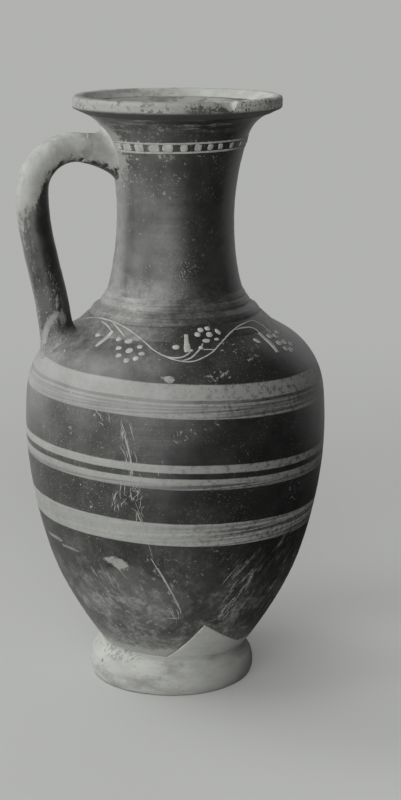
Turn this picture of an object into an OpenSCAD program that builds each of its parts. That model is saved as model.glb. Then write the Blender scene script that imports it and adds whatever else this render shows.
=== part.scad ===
// One-handled jar: a thrown jug with a tall neck, a ring foot and one rod handle.
// Millimetres, +Z up. The origin is on the resting plane, under the axis of the jar.
// The handle lies along -X. Every piece is a separate lump of clay (or plaster)
// that is luted to its neighbours with a thin film of slip, the lute gap.

/* [Body] */
// Largest outer radius of the body
belly_r = 76; // [68:0.5:86]
// Height of the widest place above the resting plane
belly_z = 135; // [115:1:155]
// Outer radius of the body where it meets the foot
base_r = 37.2; // [32:0.2:44]
// Height above the widest place at which the shoulder starts to bend in
shoulder_lift = 18; // [10:1:26]
// Radius of the bend of the shoulder
shoulder_r = 36; // [28:1:44]
// Slope of the upper shoulder, in degrees
shoulder_slope = 30; // [22:1:38]
// Thickness of the body's wall
body_wall = 6; // [4:0.5:9]
// Thickness of the floor of the body
floor_t = 7; // [5:0.5:9]

/* [Foot] */
// Height of the foot, up to its joint with the body
foot_h = 18; // [14:0.5:22]
// How far the foot's bulge stands out past the body at the joint
foot_flare = 5.4; // [4:0.2:8]
// Height of the foot's widest place
foot_bulge_z = 5.5; // [4:0.5:8]
// How far the foot's lower edge tucks in below its bulge
foot_tuck = 1.2; // [0.6:0.2:2.4]
// Width of the ledge on top of the foot, outside the body
foot_ledge = 0.5; // [0.3:0.1:1.5]
// Width of the ring that the jar stands on
ring_w = 10.5; // [7:0.5:13]
// Depth of the recess under the jar
recess_h = 8; // [5:0.5:10]

/* [Neck] */
// Outer radius of the neck at its waist
neck_waist_r = 29.2; // [25:0.1:34]
// Height of the waist above the shoulder seat
neck_waist_h = 50; // [40:1:58]
// Radius of the hollow curve below the waist
neck_low_r = 150; // [120:5:200]
// Height above the seat at which the base of the neck starts to spread
neck_spread_h = 18; // [12:1:20]
// Radius of the curve at the base of the neck
neck_spread_r = 35; // [27:1:40]
// Radius of the hollow curve above the waist
neck_high_r = 130; // [100:2:150]
// Height above the waist at which the mouth starts to flare
mouth_bend_h = 40; // [32:1:46]
// Radius of the flare of the mouth
mouth_flare_r = 17; // [13:0.5:22]
// Lean of the wall at the end of the flare, in degrees from upright
mouth_flare_end = 66; // [55:1:72]
// Thickness of the neck's wall
neck_wall = 5.5; // [4:0.5:7]
// Width of the neck's flange on the shoulder seat
flange_w = 5.5; // [4:0.5:7]
// Thickness of the spigot that reaches into the body
spigot_wall = 5; // [3.5:0.5:6]
// Depth of the spigot below the seat
spigot_h = 7; // [5:0.5:10]

/* [Lip] */
// Reach of the lip's underside past the end of the flare
lip_reach = 7.5; // [5:0.5:9]
// Height of the lip's outer face
lip_face_h = 5.9; // [5.5:0.1:9]
// Width of the lip's top
lip_top_w = 4.6; // [4:0.2:7]
// Radius of the rounding under the lip
lip_under_round = 1.2; // [0.6:0.1:2]
// Radius of the rounding on top of the lip
lip_top_round = 2; // [1:0.1:2.4]
// Radius of the chip that is broken out of the lip
chip_r = 7; // [4:0.5:9]
// Depth of the chip below the top of the lip
chip_depth = 3.6; // [1:0.2:4.5]
// Direction of the chip round the axis, in degrees from +X
chip_turn = -70; // [-180:1:180]

/* [Collar] */
// Radius of the upper bead of the collar
upper_bead_r = 3; // [2.8:0.1:4.4]
// Height of the middle of the upper bead above the seat
upper_bead_h = 4.4; // [4:0.1:6]
// How far the middle of the upper bead lies inside the edge of the seat
upper_bead_in = 5.2; // [4:0.1:5.4]
// Radius of the lower bead of the collar
lower_bead_r = 2.5; // [2:0.1:3.2]
// Height of the middle of the lower bead above the seat
lower_bead_h = 1.7; // [1.4:0.1:2.6]
// How far the middle of the lower bead lies inside the edge of the seat
lower_bead_in = 1.9; // [1.5:0.1:2.7]

/* [Handle] */
// Diameter of the handle's rod along its leg
handle_d = 16.8; // [13:0.2:18]
// Diameter of the rod at the neck, from where it thickens round the crown
crown_d = 15; // [12:0.2:18]
// Room for fingers between the waist of the neck and the handle
finger_gap = 34.3; // [28:0.1:42]
// How far the middle of the handle's root lies inside the largest radius of the body
root_inset = 16; // [10:0.5:18]
// Drop of the handle's crown below the end of the mouth's flare
handle_drop = 15.6; // [13:0.2:22]
// Radius of the bend from the crown down to the leg
crown_r = 21; // [16:0.5:25]
// Radius of the rise from the neck to the crown
rise_r = 30; // [15:0.5:36]
// Length of the straight tenon at each end of the handle
tenon_l = 5; // [3:0.5:6]

/* [Handle pads] */
// Distance of the upper pad's tip from the neck
upper_pad_h = 10.3; // [9:0.1:12]
// Length over which the upper pad flares
upper_pad_l = 15; // [12:0.5:18]
// How far the upper pad spreads past its tip
upper_pad_spread = 4.9; // [3:0.1:7]
// Height of the lower pad's tip above the shoulder
lower_pad_h = 14; // [12:0.5:20]
// Length over which the lower pad flares
lower_pad_l = 14; // [10:0.5:18]
// How far the lower pad spreads past its tip
lower_pad_spread = 1.9; // [1:0.1:3]
// Clay that a pad's tip leaves round the handle
pad_tip = 0.9; // [0.5:0.1:1.6]
// Length by which a pad's blank runs on into the vessel before it is trimmed to it
pad_sink = 16; // [12:1:20]

/* [Plaster fill] */
// Direction that the middle of the fill faces, in degrees from +X
fill_turn = -68; // [-180:1:180]
// Height of the fill's point above the foot joint
fill_h = 23.5; // [12:0.5:30]
// Distance of the fill's left end from its middle
fill_left = 26; // [20:0.5:28]
// Distance of the fill's point from its middle
fill_point = 16.8; // [10:0.2:19]
// Height of the notch right of the point above the foot joint
fill_notch_h = 14.4; // [10:0.2:18]
// Distance of the notch from the middle, to the left
fill_notch = 3.3; // [0:0.1:6]
// Height of the shoulder right of the notch above the foot joint
fill_step_h = 6.9; // [5.5:0.1:9]
// Distance of that shoulder from the middle, to the right
fill_step = 9.7; // [6:0.1:14]
// Height of the fill's right end above the foot joint
fill_end_h = 5; // [3:0.1:5.4]
// Distance of the fill's right end from the middle
fill_right = 28; // [20:0.5:29]

/* [Joints] */
// Thickness of the slip between two luted pieces
lute_gap = 0.2; // [0.1:0.05:0.4]

/* [Hidden] */
$fn = 96;

slip_black = [0.27, 0.28, 0.26];
slip_worn = [0.42, 0.43, 0.41];
clay_pale = [0.63, 0.64, 0.61];
plaster = [0.55, 0.56, 0.54];

// The body's wall: one arc from the foot to the shoulder, a tighter bend and a cone
belly_rise = belly_z - foot_h;
belly_swell = belly_r - base_r;
belly_arc_r = (belly_rise * belly_rise + belly_swell * belly_swell) / (2 * belly_swell);
belly_centre = [belly_r - belly_arc_r, belly_z];
bend_angle = asin(shoulder_lift / belly_arc_r);
bend_start = belly_centre + belly_arc_r * direction(bend_angle);
shoulder_centre = bend_start - shoulder_r * direction(bend_angle);
cone_angle = 90 - shoulder_slope;
floor_z = recess_h + floor_t;

// The neck, measured from the shoulder seat: two hollow curves, a spread and a flare
low_turn = asin((neck_waist_h - neck_spread_h) / neck_low_r);
spread_start = neck_waist_r + neck_low_r * (1 - cos(low_turn));
spread_turn = asin(sin(low_turn) + neck_spread_h / neck_spread_r);
neck_base_r = spread_start + neck_spread_r * (cos(low_turn) - cos(spread_turn));
high_turn = asin(mouth_bend_h / neck_high_r);

// The seat is a flat ring on the shoulder, as wide as the base of the neck
seat_z = shoulder_z(neck_base_r, 0);
waist_z = seat_z + neck_waist_h;
spigot_r = neck_base_r - flange_w;
low_centre = [neck_waist_r + neck_low_r, waist_z];
spread_centre = low_centre - (neck_low_r - neck_spread_r) * direction(low_turn);
high_centre = [neck_waist_r + neck_high_r, waist_z];
flare_centre = high_centre - (neck_high_r - mouth_flare_r) * direction(-high_turn);
flare_outside = flare_centre - mouth_flare_r * direction(-mouth_flare_end);
flare_inside = flare_centre - (mouth_flare_r + neck_wall) * direction(-mouth_flare_end);

// The handle's route, drawn in its own plane: a rise, the crown's bend and an S-shaped leg
handle_reach = neck_waist_r + finger_gap + handle_d / 2;
crown = [handle_reach - crown_r, flare_outside.y - handle_drop];
rise_turn = asin((crown.x - neck_radius(crown.y) - upper_pad_h) / rise_r);
rise_centre = crown - [0, rise_r];
rise_start = rise_centre + rise_r * direction(90 + rise_turn);
crown_centre = crown - [0, crown_r];
root_x = belly_r - root_inset;
leg_fall = crown_centre.y - shoulder_top(root_x);
leg_shift = handle_reach - root_x;
root_share = 1 - lower_pad_h / leg_fall;
root_end = leg_place(root_share);
root_heading = leg_heading(root_share);
rod_sides = 24;
rod_route = concat(
    [rod_station(rise_start - tenon_l * direction(rise_turn), rise_turn, crown_d)],
    bend_stations(rise_centre, rise_r, 90 + rise_turn, 90, 4, crown_d, crown_d),
    bend_stations(crown_centre, crown_r, 90, 0, 12, crown_d, handle_d),
    leg_stations(16),
    [rod_station(root_end + tenon_l * direction(root_heading), root_heading, handle_d)]
);

// A unit vector, by its angle from the first axis
function direction(angle) = [cos(angle), sin(angle)];

// Points along an arc
function arc(centre, radius, from, to, steps) = [
    for (i = [0:steps])
        centre + radius * direction(from + (to - from) * i / steps)
];

// The same points in the other order
function reversed(points) = [
    for (i = [len(points) - 1:-1:0])
        points[i]
];

// Points that round the corner b between a and c
function rounded(a, b, c, radius) =
    let (
        u = (a - b) / norm(a - b),
        v = (c - b) / norm(c - b),
        half = acos(u * v) / 2,
        centre = b + (u + v) / norm(u + v) * radius / sin(half),
        p = b + u * radius / tan(half) - centre,
        q = b + v * radius / tan(half) - centre,
        from = atan2(p.y, p.x),
        turn = atan2(p.x * q.y - p.y * q.x, p * q)
    )
    arc(centre, radius, from, from + turn, 8);

// Height of the shoulder's cone at a radius, with the wall line moved inwards by inset
function shoulder_z(radius, inset) =
    let (start = shoulder_centre + (shoulder_r - inset) * direction(cone_angle))
    start.y + (start.x - radius) * tan(shoulder_slope);

// Height of the shoulder at a radius, on its cone or on its bend
function shoulder_top(radius) =
    let (out = (radius - shoulder_centre.x) / shoulder_r)
    out < cos(cone_angle) ? shoulder_z(radius, 0) : shoulder_centre.y + shoulder_r * sqrt(1 - out * out);

// Outer radius of the neck at a height above its waist
function neck_radius(z) =
    let (
        low = z < waist_z + mouth_bend_h,
        centre = low ? high_centre : flare_centre,
        radius = low ? neck_high_r : mouth_flare_r,
        up = z - centre.y
    )
    centre.x - sqrt(radius * radius - up * up);

// The body's wall from a height up to a radius on the shoulder, moved inwards by inset
function body_line(low_z, top_r, inset) = concat(
    arc(
        belly_centre,
        belly_arc_r - inset,
        asin((low_z - belly_z) / (belly_arc_r - inset)),
        bend_angle,
        28
    ),
    arc(shoulder_centre, shoulder_r - inset, bend_angle, cone_angle, 12),
    [[top_r, shoulder_z(top_r, inset)]]
);

// The part of the neck's wall above its spread, moved inwards by inset
function upper_neck_line(inset) = concat(
    arc(low_centre, neck_low_r + inset, 180 + low_turn, 180, 10),
    arc(high_centre, neck_high_r + inset, 180, 180 - high_turn, 12),
    arc(flare_centre, mouth_flare_r + inset, 180 - high_turn, 180 - mouth_flare_end, 12)
);

// The spread at the base of the neck, moved inwards by inset, from a turn upwards
function neck_spread_line(inset, turn) =
    arc(spread_centre, neck_spread_r + inset, 180 + turn, 180 + low_turn, 10);

// The body as a filled lump, grown by a gap, for trimming what is luted to it
module body_mass(gap) {
    rotate_extrude()
        polygon(concat(
            [[0, floor_z]],
            body_line(floor_z, neck_base_r, -gap),
            [[0, shoulder_z(neck_base_r, -gap)]]
        ));
}

// The neck as a filled lump, grown by a gap, for trimming what is luted to it
module neck_mass(gap) {
    base = neck_spread_line(-gap, spread_turn);
    rotate_extrude()
        polygon(concat(
            [[0, seat_z - spigot_h], [base[0].x, seat_z - spigot_h]],
            base,
            upper_neck_line(-gap),
            [[0, flare_outside.y]]
        ));
}

// The whole wall of the body, with its floor, its neck hole and the seat round the hole
module body_shell() {
    hole_r = spigot_r + lute_gap;
    rotate_extrude()
        polygon(concat(
            [[0, recess_h]],
            body_line(recess_h, neck_base_r, 0),
            [[hole_r, seat_z]],
            reversed(body_line(floor_z, hole_r, body_wall)),
            [[0, floor_z]]
        ));
}

// The straight-edged break in the lower wall, as a prism that runs out through it
module break_prism() {
    rotate([90, 0, fill_turn + 90])
        translate([0, foot_h, 4])
            linear_extrude(belly_r)
                polygon([
                    [-fill_left, 0],
                    [-fill_point, fill_h],
                    [-fill_notch, fill_notch_h],
                    [fill_step, fill_step_h],
                    [fill_right, fill_end_h],
                    [fill_right, 0]
                ]);
}

// A place on the handle's route with the heading and the thickness of the rod there
function rod_station(place, heading, thickness) = [place.x, place.y, heading, thickness];

// Stations along a bend that turns clockwise, over which the thickness changes evenly
function bend_stations(centre, radius, from, to, steps, first_d, last_d) = [
    for (i = [0:steps - 1])
        let (
            angle = from + (to - from) * i / steps,
            thickness = first_d + (last_d - first_d) * i / steps
        )
        rod_station(centre + radius * direction(angle), angle - 90, thickness)
];

// A place on the leg by its share of the fall; the leg is upright at the crown and on the shoulder
function leg_place(share) = [
    handle_reach - leg_shift * (1 - cos(180 * share)) / 2,
    crown_centre.y - leg_fall * share
];

// Heading of the leg at a share of its fall
function leg_heading(share) = -90 - atan(leg_shift * PI / 2 * sin(180 * share) / leg_fall);

// Stations down the leg, from the crown to the tip of the lower pad
function leg_stations(steps) = [
    for (i = [0:steps])
        let (share = root_share * i / steps)
        rod_station(leg_place(share), leg_heading(share), handle_d)
];

// A ring of points square to the rod at a station
function rod_ring(station) = [
    for (i = [0:rod_sides - 1])
        let (
            turn = 360 * i / rod_sides,
            half = station[3] / 2,
            side = half * cos(turn) * direction(station.z + 90)
        )
        [station.x + side.x, station.y + side.y, half * sin(turn)]
];

// The rod as one skin over its rings, closed by a flat face at each end
module handle_rod() {
    last = len(rod_route) - 1;
    points = [
        for (station = rod_route)
            each rod_ring(station)
    ];
    skin = [
        for (i = [0:last - 1], j = [0:rod_sides - 1])
            let (
                a = i * rod_sides + j,
                b = i * rod_sides + (j + 1) % rod_sides
            )
            each [[a, b, b + rod_sides], [a, b + rod_sides, a + rod_sides]]
    ];
    start_face = [for (j = [rod_sides - 1:-1:0]) j];
    end_face = [for (j = [0:rod_sides - 1]) last * rod_sides + j];
    polyhedron(points, concat(skin, [start_face, end_face]));
}

// A pad of clay with a socket for the tenon and a hollow flare, trimmed later to the vessel
module pad_blank(tip, heading, rod_d, spread, length) {
    socket_r = rod_d / 2 + lute_gap;
    socket_l = tenon_l + lute_gap;
    tip_r = socket_r + pad_tip;
    hollow_r = (spread * spread + length * length) / (2 * spread);
    rotate([90, 0, 180])
        translate([tip.x, tip.y, 0])
            rotate([90, 0, heading + 90])
                rotate_extrude()
                    polygon(concat(
                        [[0, socket_l], [socket_r, socket_l], [socket_r, 0]],
                        arc([tip_r + hollow_r, 0], hollow_r, 180, 180 - asin(length / hollow_r), 10),
                        [[tip_r + spread, length + pad_sink], [0, length + pad_sink]]
                    ));
}

// Ring foot, dished on top to take the body
module foot() {
    bulge_r = base_r + foot_flare;
    low_r = (foot_bulge_z * foot_bulge_z + foot_tuck * foot_tuck) / (2 * foot_tuck);
    rise = foot_h - foot_bulge_z;
    drawn_in = foot_flare - foot_ledge;
    high_r = (rise * rise + drawn_in * drawn_in) / (2 * drawn_in);
    dish = arc(
        belly_centre,
        belly_arc_r + lute_gap,
        asin((foot_h - belly_z) / (belly_arc_r + lute_gap)),
        asin((recess_h - belly_z) / (belly_arc_r + lute_gap)),
        8
    );
    color(clay_pale)
        rotate_extrude()
            polygon(concat(
                arc([bulge_r - low_r, foot_bulge_z], low_r, -asin(foot_bulge_z / low_r), 0, 6),
                arc([bulge_r - high_r, foot_bulge_z], high_r, 0, asin(rise / high_r), 10),
                dish,
                [[bulge_r - foot_tuck - ring_w, 0]]
            ));
}

// Thrown body, open at the neck hole and at the break
module body() {
    color(slip_black)
        difference() {
            body_shell();
            break_prism();
        }
}

// Plaster that fills the break in the lower wall
module repair_fill() {
    color(plaster)
        intersection() {
            body_shell();
            break_prism();
        }
}

// Thrown neck with its flange, its spigot and the flare of the mouth
module neck() {
    spigot_in = spigot_r - spigot_wall;
    inner_turn = acos((spread_centre.x - spigot_in) / (neck_spread_r + neck_wall));
    flange_turn = asin((spread_centre.y - seat_z - lute_gap) / neck_spread_r);
    color(slip_black)
        rotate_extrude()
            polygon(concat(
                [
                    [spigot_in, seat_z - spigot_h],
                    [spigot_r, seat_z - spigot_h],
                    [spigot_r, seat_z + lute_gap]
                ],
                neck_spread_line(0, flange_turn),
                upper_neck_line(0),
                reversed(upper_neck_line(neck_wall)),
                reversed(neck_spread_line(neck_wall, inner_turn))
            ));
}

// Turned collar of two beads that covers the joint of neck and shoulder
module collar() {
    color(slip_worn)
        difference() {
            rotate_extrude()
                union() {
                    translate([neck_base_r - upper_bead_in, seat_z + upper_bead_h])
                        circle(upper_bead_r);
                    translate([neck_base_r - lower_bead_in, seat_z + lower_bead_h])
                        circle(lower_bead_r);
                }
            body_mass(lute_gap);
            neck_mass(lute_gap);
        }
}

// Rounded lip, laid on the end of the flare, with a chip broken out of it
module lip() {
    outwards = direction(90 - mouth_flare_end);
    joint_low = flare_outside + lute_gap * outwards;
    joint_high = flare_inside + lute_gap * outwards;
    under = flare_outside + lip_reach * outwards;
    brow = under + [0, lip_face_h];
    inner = brow - [lip_top_w, 0];
    color(clay_pale)
        difference() {
            rotate_extrude()
                polygon(concat(
                    [joint_low],
                    rounded(joint_low, under, brow, lip_under_round),
                    rounded(under, brow, inner, lip_top_round),
                    rounded(brow, inner, joint_high, lip_top_round),
                    [joint_high]
                ));
            rotate([0, 0, chip_turn])
                translate([brow.x, 0, brow.y + chip_r - chip_depth])
                    sphere(chip_r);
        }
}

// Rod handle with a tenon at each end
module handle() {
    color(slip_worn)
        rotate([90, 0, 180])
            handle_rod();
}

// Pad of clay that joins the handle to the neck
module handle_upper_pad() {
    color(clay_pale)
        difference() {
            pad_blank(rise_start, 180 + rise_turn, crown_d, upper_pad_spread, upper_pad_l);
            neck_mass(lute_gap);
        }
}

// Pad of clay that joins the handle to the shoulder
module handle_lower_pad() {
    color(slip_worn)
        difference() {
            pad_blank(root_end, root_heading, handle_d, lower_pad_spread, lower_pad_l);
            body_mass(lute_gap);
        }
}

foot();
body();
repair_fill();
neck();
collar();
lip();
handle();
handle_upper_pad();
handle_lower_pad();
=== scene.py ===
"""Looks of a one-handled pottery jar: turned clay, black slip, pale painted ornament, wear and a plaster fill."""
import math
import random

import bmesh
import bpy
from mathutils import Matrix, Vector, noise


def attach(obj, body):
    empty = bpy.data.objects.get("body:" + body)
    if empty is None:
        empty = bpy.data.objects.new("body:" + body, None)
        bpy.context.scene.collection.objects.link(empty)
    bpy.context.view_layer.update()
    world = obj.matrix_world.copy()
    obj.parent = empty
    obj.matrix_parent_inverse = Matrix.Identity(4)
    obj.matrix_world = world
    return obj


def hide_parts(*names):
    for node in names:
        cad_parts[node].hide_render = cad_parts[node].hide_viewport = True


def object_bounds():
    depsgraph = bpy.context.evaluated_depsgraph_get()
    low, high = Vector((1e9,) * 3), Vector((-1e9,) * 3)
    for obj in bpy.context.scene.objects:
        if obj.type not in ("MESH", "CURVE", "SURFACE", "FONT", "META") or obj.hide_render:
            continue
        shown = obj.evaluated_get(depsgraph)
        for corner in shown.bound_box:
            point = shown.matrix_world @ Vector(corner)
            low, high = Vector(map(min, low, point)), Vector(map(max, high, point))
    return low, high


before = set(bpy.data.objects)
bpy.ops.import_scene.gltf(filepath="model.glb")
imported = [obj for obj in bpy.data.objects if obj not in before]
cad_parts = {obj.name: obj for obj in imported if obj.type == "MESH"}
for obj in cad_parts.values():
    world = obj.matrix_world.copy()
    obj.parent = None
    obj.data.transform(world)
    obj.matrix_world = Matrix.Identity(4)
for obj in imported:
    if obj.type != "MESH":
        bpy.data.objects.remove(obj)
cad_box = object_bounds()
scene = bpy.context.scene
MM = 0.001

# ---------------------------------------------------------------- driving dimensions (mm, degrees)

# The viewer looks along this bearing; the handle points to -X
VIEW_TURN = -13.0
FRONT_TURN = VIEW_TURN - 90.0

# Camera: distance of the eye from the axis, its height, its step to the right and its dip
EYE_BACK = 897.0
EYE_UP = 363.0
EYE_RIGHT = 12.8
EYE_DIP = 13.7
LENS = 81.4
SENSOR = 36.0

# The neck leans a little to the viewer's right above this height
LEAN_FROM = 215.0
LEAN_PER_MM = 0.018

# The foot sits off the axis, to the viewer's left, and its bulge is higher on that side; its rest stays level, and
# the shift eases out towards the body
FOOT_OFF = 2.4
FOOT_TILT = 0.03
FOOT_HELD = 6.0
FOOT_EASE_TOP = 24.0
FOOT_EASE = 12.0

# Groove between foot and body: where its filling starts, is hollowest and ends
GROOVE_LOW = 11.5
GROOVE_HOLLOW = 15.5
GROOVE_HIGH = 20.0

# The lower wall is a little fuller about this height, wholly so beyond a radius
BODY_FULL_Z = 58.0
BODY_FULL_H = 20.0
BODY_FULL = 0.7
BODY_FULL_R = 30.0

# Collar: radius of its low ledge and of the end of its sweep onto the shoulder, and the height where that starts
COLLAR_EDGE = 42.2
COLLAR_TAIL = 50.5
COLLAR_SWEEP = 191.2

# The shoulder lies between these heights
SHOULDER_LOW = 140.0
SHOULDER_HIGH = 189.0

# The brush ran out of level: the painted bands sink towards the viewer's right
BAND_DROP = 0.0454

# Handle: the rod's thickness at the crown and down its leg, the reach of the leg and its bends
CROWN_D = 14.8
ROD_D = 16.6
ROD_REACH = 71.9
CROWN_R = 21.0
CROWN_TOP = 273.9
RISE_R = 30.0
RISE_TURN = 13.0
ROOT_X = 60.8
ROOT_Z = 178.9
ROOT_TIP = 14.0

# Break in the lower wall: its bearing, how near and far from the axis it is cut, the gap round the plaster and its
# straight edges
FILL_TURN = -68.0
FILL_NEAR = 5.0
FILL_FAR = 80.0
FILL_GAP = 0.12
FILL_EDGE = [(-26.0, 18.0), (-16.8, 41.5), (-3.3, 32.4), (9.7, 24.9), (28.0, 23.0), (28.0, 18.0)]

# Chip in the lip: it slants down from one turn to its deepest place and rises steeply after it; its edge wanders
# and its face is rough
CHIP_FROM = 20.0
CHIP_DEEP = (28.5, 33.0)
CHIP_TO = 35.4
CHIP_DEPTH = 4.2
CHIP_INNER = 45.5
CHIP_WANDER = 1.6
CHIP_ROUGH = 0.3


def axes_of(bearing):
    """Level directions outwards and sideways at a bearing in degrees."""
    out = Vector((math.cos(math.radians(bearing)), math.sin(math.radians(bearing)), 0.0))
    return out, Vector((-out.y, out.x, 0.0))


VIEW_RIGHT, VIEW_AWAY = axes_of(VIEW_TURN)


def around(turn, radius, height):
    """A point at a turn from the front (degrees, positive to the viewer's right), in metres."""
    bearing = math.radians(FRONT_TURN + turn)
    return Vector((radius * math.cos(bearing), radius * math.sin(bearing), height)) * MM


# ---------------------------------------------------------------- outlines read from the CAD pieces in model.glb

# Points closer than this are welded, and a cut takes in points this near to it (metres)
WELD = 1e-6
CUT_SLACK = 1e-7


def turned_outline(node, bearing):
    """Half-outline (radius, height) of a turned CAD node, in order, cut along a bearing in degrees."""
    out, side = axes_of(bearing)
    bm = bmesh.new()
    bm.from_mesh(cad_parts[node].data)
    bmesh.ops.remove_doubles(bm, verts=bm.verts, dist=WELD)
    bmesh.ops.bisect_plane(bm, geom=bm.verts[:] + bm.edges[:] + bm.faces[:], dist=CUT_SLACK,
                           plane_co=(0, 0, 0), plane_no=out, clear_inner=True)
    cut = bmesh.ops.bisect_plane(bm, geom=bm.verts[:] + bm.edges[:] + bm.faces[:], dist=CUT_SLACK,
                                 plane_co=(0, 0, 0), plane_no=side)["geom_cut"]
    neighbours = {}
    for edge in cut:
        if isinstance(edge, bmesh.types.BMEdge):
            a, b = edge.verts
            neighbours.setdefault(a, []).append(b)
            neighbours.setdefault(b, []).append(a)
    ends = [v for v in neighbours if len(neighbours[v]) == 1]
    corner = min(ends or neighbours, key=lambda v: (v.co.z, v.co.dot(out)))
    before, loop = None, []
    while corner is not None and (not loop or corner is not loop[0]):
        loop.append(corner)
        ahead = [v for v in neighbours[corner] if v is not before]
        before, corner = corner, ahead[0] if ahead else None
    points = [(max(v.co.dot(out), 0.0), v.co.z) for v in loop]
    bm.free()
    return points, not ends


def outer_radius(outline, height):
    """Largest radius of an outline at a height in mm, in mm."""
    best = 0.0
    points = outline[0]
    for (r0, z0), (r1, z1) in zip(points, points[1:] + points[:1]):
        if min(z0, z1) <= height * MM <= max(z0, z1) and z0 != z1:
            best = max(best, r0 + (r1 - r0) * (height * MM - z0) / (z1 - z0))
    return best / MM


# ---------------------------------------------------------------- node-tree helpers

def put(tree, kind, sockets=None, **choices):
    """Adds one node, sets its choices and fills or joins its inputs."""
    node = tree.nodes.new(kind)
    for key, value in choices.items():
        setattr(node, key, value)
    for key, value in (sockets or {}).items():
        if isinstance(value, bpy.types.NodeSocket):
            tree.links.new(value, node.inputs[key])
        else:
            node.inputs[key].default_value = value
    return node


def sums(tree, operation, *values):
    """A Math node's result."""
    return put(tree, "ShaderNodeMath", dict(enumerate(values)), operation=operation).outputs[0]


def vectors(tree, operation, *values, result=0):
    """A Vector Math node's result."""
    node = put(tree, "ShaderNodeVectorMath", dict(enumerate(values)), operation=operation)
    return node.outputs[result]


def scaled(tree, vector, factor):
    """A vector times a factor."""
    return put(tree, "ShaderNodeVectorMath", {0: vector, "Scale": factor}, operation="SCALE").outputs[0]


def parts_of(tree, vector):
    """A vector's X, Y and Z."""
    return put(tree, "ShaderNodeSeparateXYZ", {0: vector}).outputs


def vector_of(tree, x=0.0, y=0.0, z=0.0):
    """A vector from its X, Y and Z."""
    return put(tree, "ShaderNodeCombineXYZ", {"X": x, "Y": y, "Z": z}).outputs[0]


def clay_noise(tree, place, scale, detail, rough, seed):
    """Noise between 0 and 1 at a place, with its own seed."""
    node = put(tree, "ShaderNodeTexNoise", {"Vector": place, "W": seed, "Scale": scale,
                                            "Detail": detail, "Roughness": rough},
               noise_dimensions="4D")
    return node.outputs[0]


def spread_of(tree, grain, amount):
    """A noise between 0 and 1 turned into a push to both sides, as large as amount."""
    return sums(tree, "MULTIPLY", sums(tree, "SUBTRACT", grain, 0.5), amount)


def here(tree):
    """Position of the point at hand."""
    return put(tree, "GeometryNodeInputPosition").outputs[0]


def skin_normal(tree):
    """The way the surface faces at the point at hand."""
    return put(tree, "GeometryNodeInputNormal").outputs[0]


def shape_of(tree, source):
    """Geometry of an object that is given as an input."""
    return put(tree, "GeometryNodeObjectInfo", {"Object": source}).outputs["Geometry"]


def moved(tree, geometry, **sockets):
    """A geometry whose points get a Position or an Offset, all of them or a Selection."""
    return put(tree, "GeometryNodeSetPosition", {0: geometry, **sockets}).outputs[0]


def on_carrier(tree, carrier):
    """Nearest place on a carrier, and the way its surface faces there."""
    place = put(tree, "GeometryNodeProximity", {0: carrier}, target_element="FACES").outputs["Position"]
    facing = put(tree, "GeometryNodeSampleNearestSurface", {"Mesh": carrier, "Value": skin_normal(tree)},
                 data_type="FLOAT_VECTOR").outputs["Value"]
    return place, facing


def kept_value(tree, label):
    """A number that was stored on the points under a name."""
    return put(tree, "GeometryNodeInputNamedAttribute", {"Name": label}, data_type="FLOAT").outputs["Attribute"]


def store_value(tree, geometry, label, value):
    """Stores a number on the points under a name."""
    return put(tree, "GeometryNodeStoreNamedAttribute", {0: geometry, "Name": label, "Value": value},
               data_type="FLOAT", domain="POINT").outputs[0]


def rounded_line(tree, source, step):
    """A helper line that is given as an input, rounded off and cut into equal steps."""
    line = put(tree, "GeometryNodeCurveSplineType", {0: shape_of(tree, source)}, spline_type="CATMULL_ROM").outputs[0]
    return put(tree, "GeometryNodeResampleCurve", {"Curve": line, "Length": step}, mode="LENGTH").outputs[0]


def round_run(tree, line, corners):
    """A closed round rod along a line, as thick as the line's own radius."""
    ring = put(tree, "GeometryNodeCurvePrimitiveCircle", {"Resolution": corners, "Radius": 1.0},
               mode="RADIUS").outputs["Curve"]
    thickness = put(tree, "GeometryNodeInputRadius").outputs[0]
    return put(tree, "GeometryNodeCurveToMesh", {"Curve": line, "Profile Curve": ring, "Scale": thickness,
                                                 "Fill Caps": True}).outputs[0]


def shape_tree(name, inputs):
    """An empty Geometry Nodes tree with named inputs; returns the tree and its inputs' sockets."""
    tree = bpy.data.node_groups.new(name, "GeometryNodeTree")
    tree.interface.new_socket("Geometry", in_out="OUTPUT", socket_type="NodeSocketGeometry")
    tree.interface.new_socket("Geometry", in_out="INPUT", socket_type="NodeSocketGeometry")
    for label, kind in inputs:
        tree.interface.new_socket(label, in_out="INPUT", socket_type="NodeSocket" + kind)
    return tree, tree.nodes.new("NodeGroupInput").outputs


def close_tree(tree, geometry, material):
    """Ends a tree: realised, smooth, with its material."""
    real = put(tree, "GeometryNodeRealizeInstances", {0: geometry}).outputs[0]
    smooth = put(tree, "GeometryNodeSetShadeSmooth", {0: real}).outputs[0]
    dressed = put(tree, "GeometryNodeSetMaterial", {0: smooth, "Material": material}).outputs[0]
    put(tree, "NodeGroupOutput", {0: dressed})
    return tree


def applied(piece, modifier):
    """Makes a modifier's result the piece's own mesh and removes the modifier."""
    graph = bpy.context.evaluated_depsgraph_get()
    result = bpy.data.meshes.new_from_object(piece.evaluated_get(graph))
    piece.modifiers.remove(modifier)
    piece.data = result
    return result


def mesh_object(name, bm, material=None):
    """Ends mesh code: a linked object, smooth where it gets a material."""
    mesh = bpy.data.meshes.new(name)
    bm.to_mesh(mesh)
    bm.free()
    if material:
        mesh.polygons.foreach_set("use_smooth", [True] * len(mesh.polygons))
        mesh.materials.append(material)
    piece = bpy.data.objects.new(name, mesh)
    scene.collection.objects.link(piece)
    return piece


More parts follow.
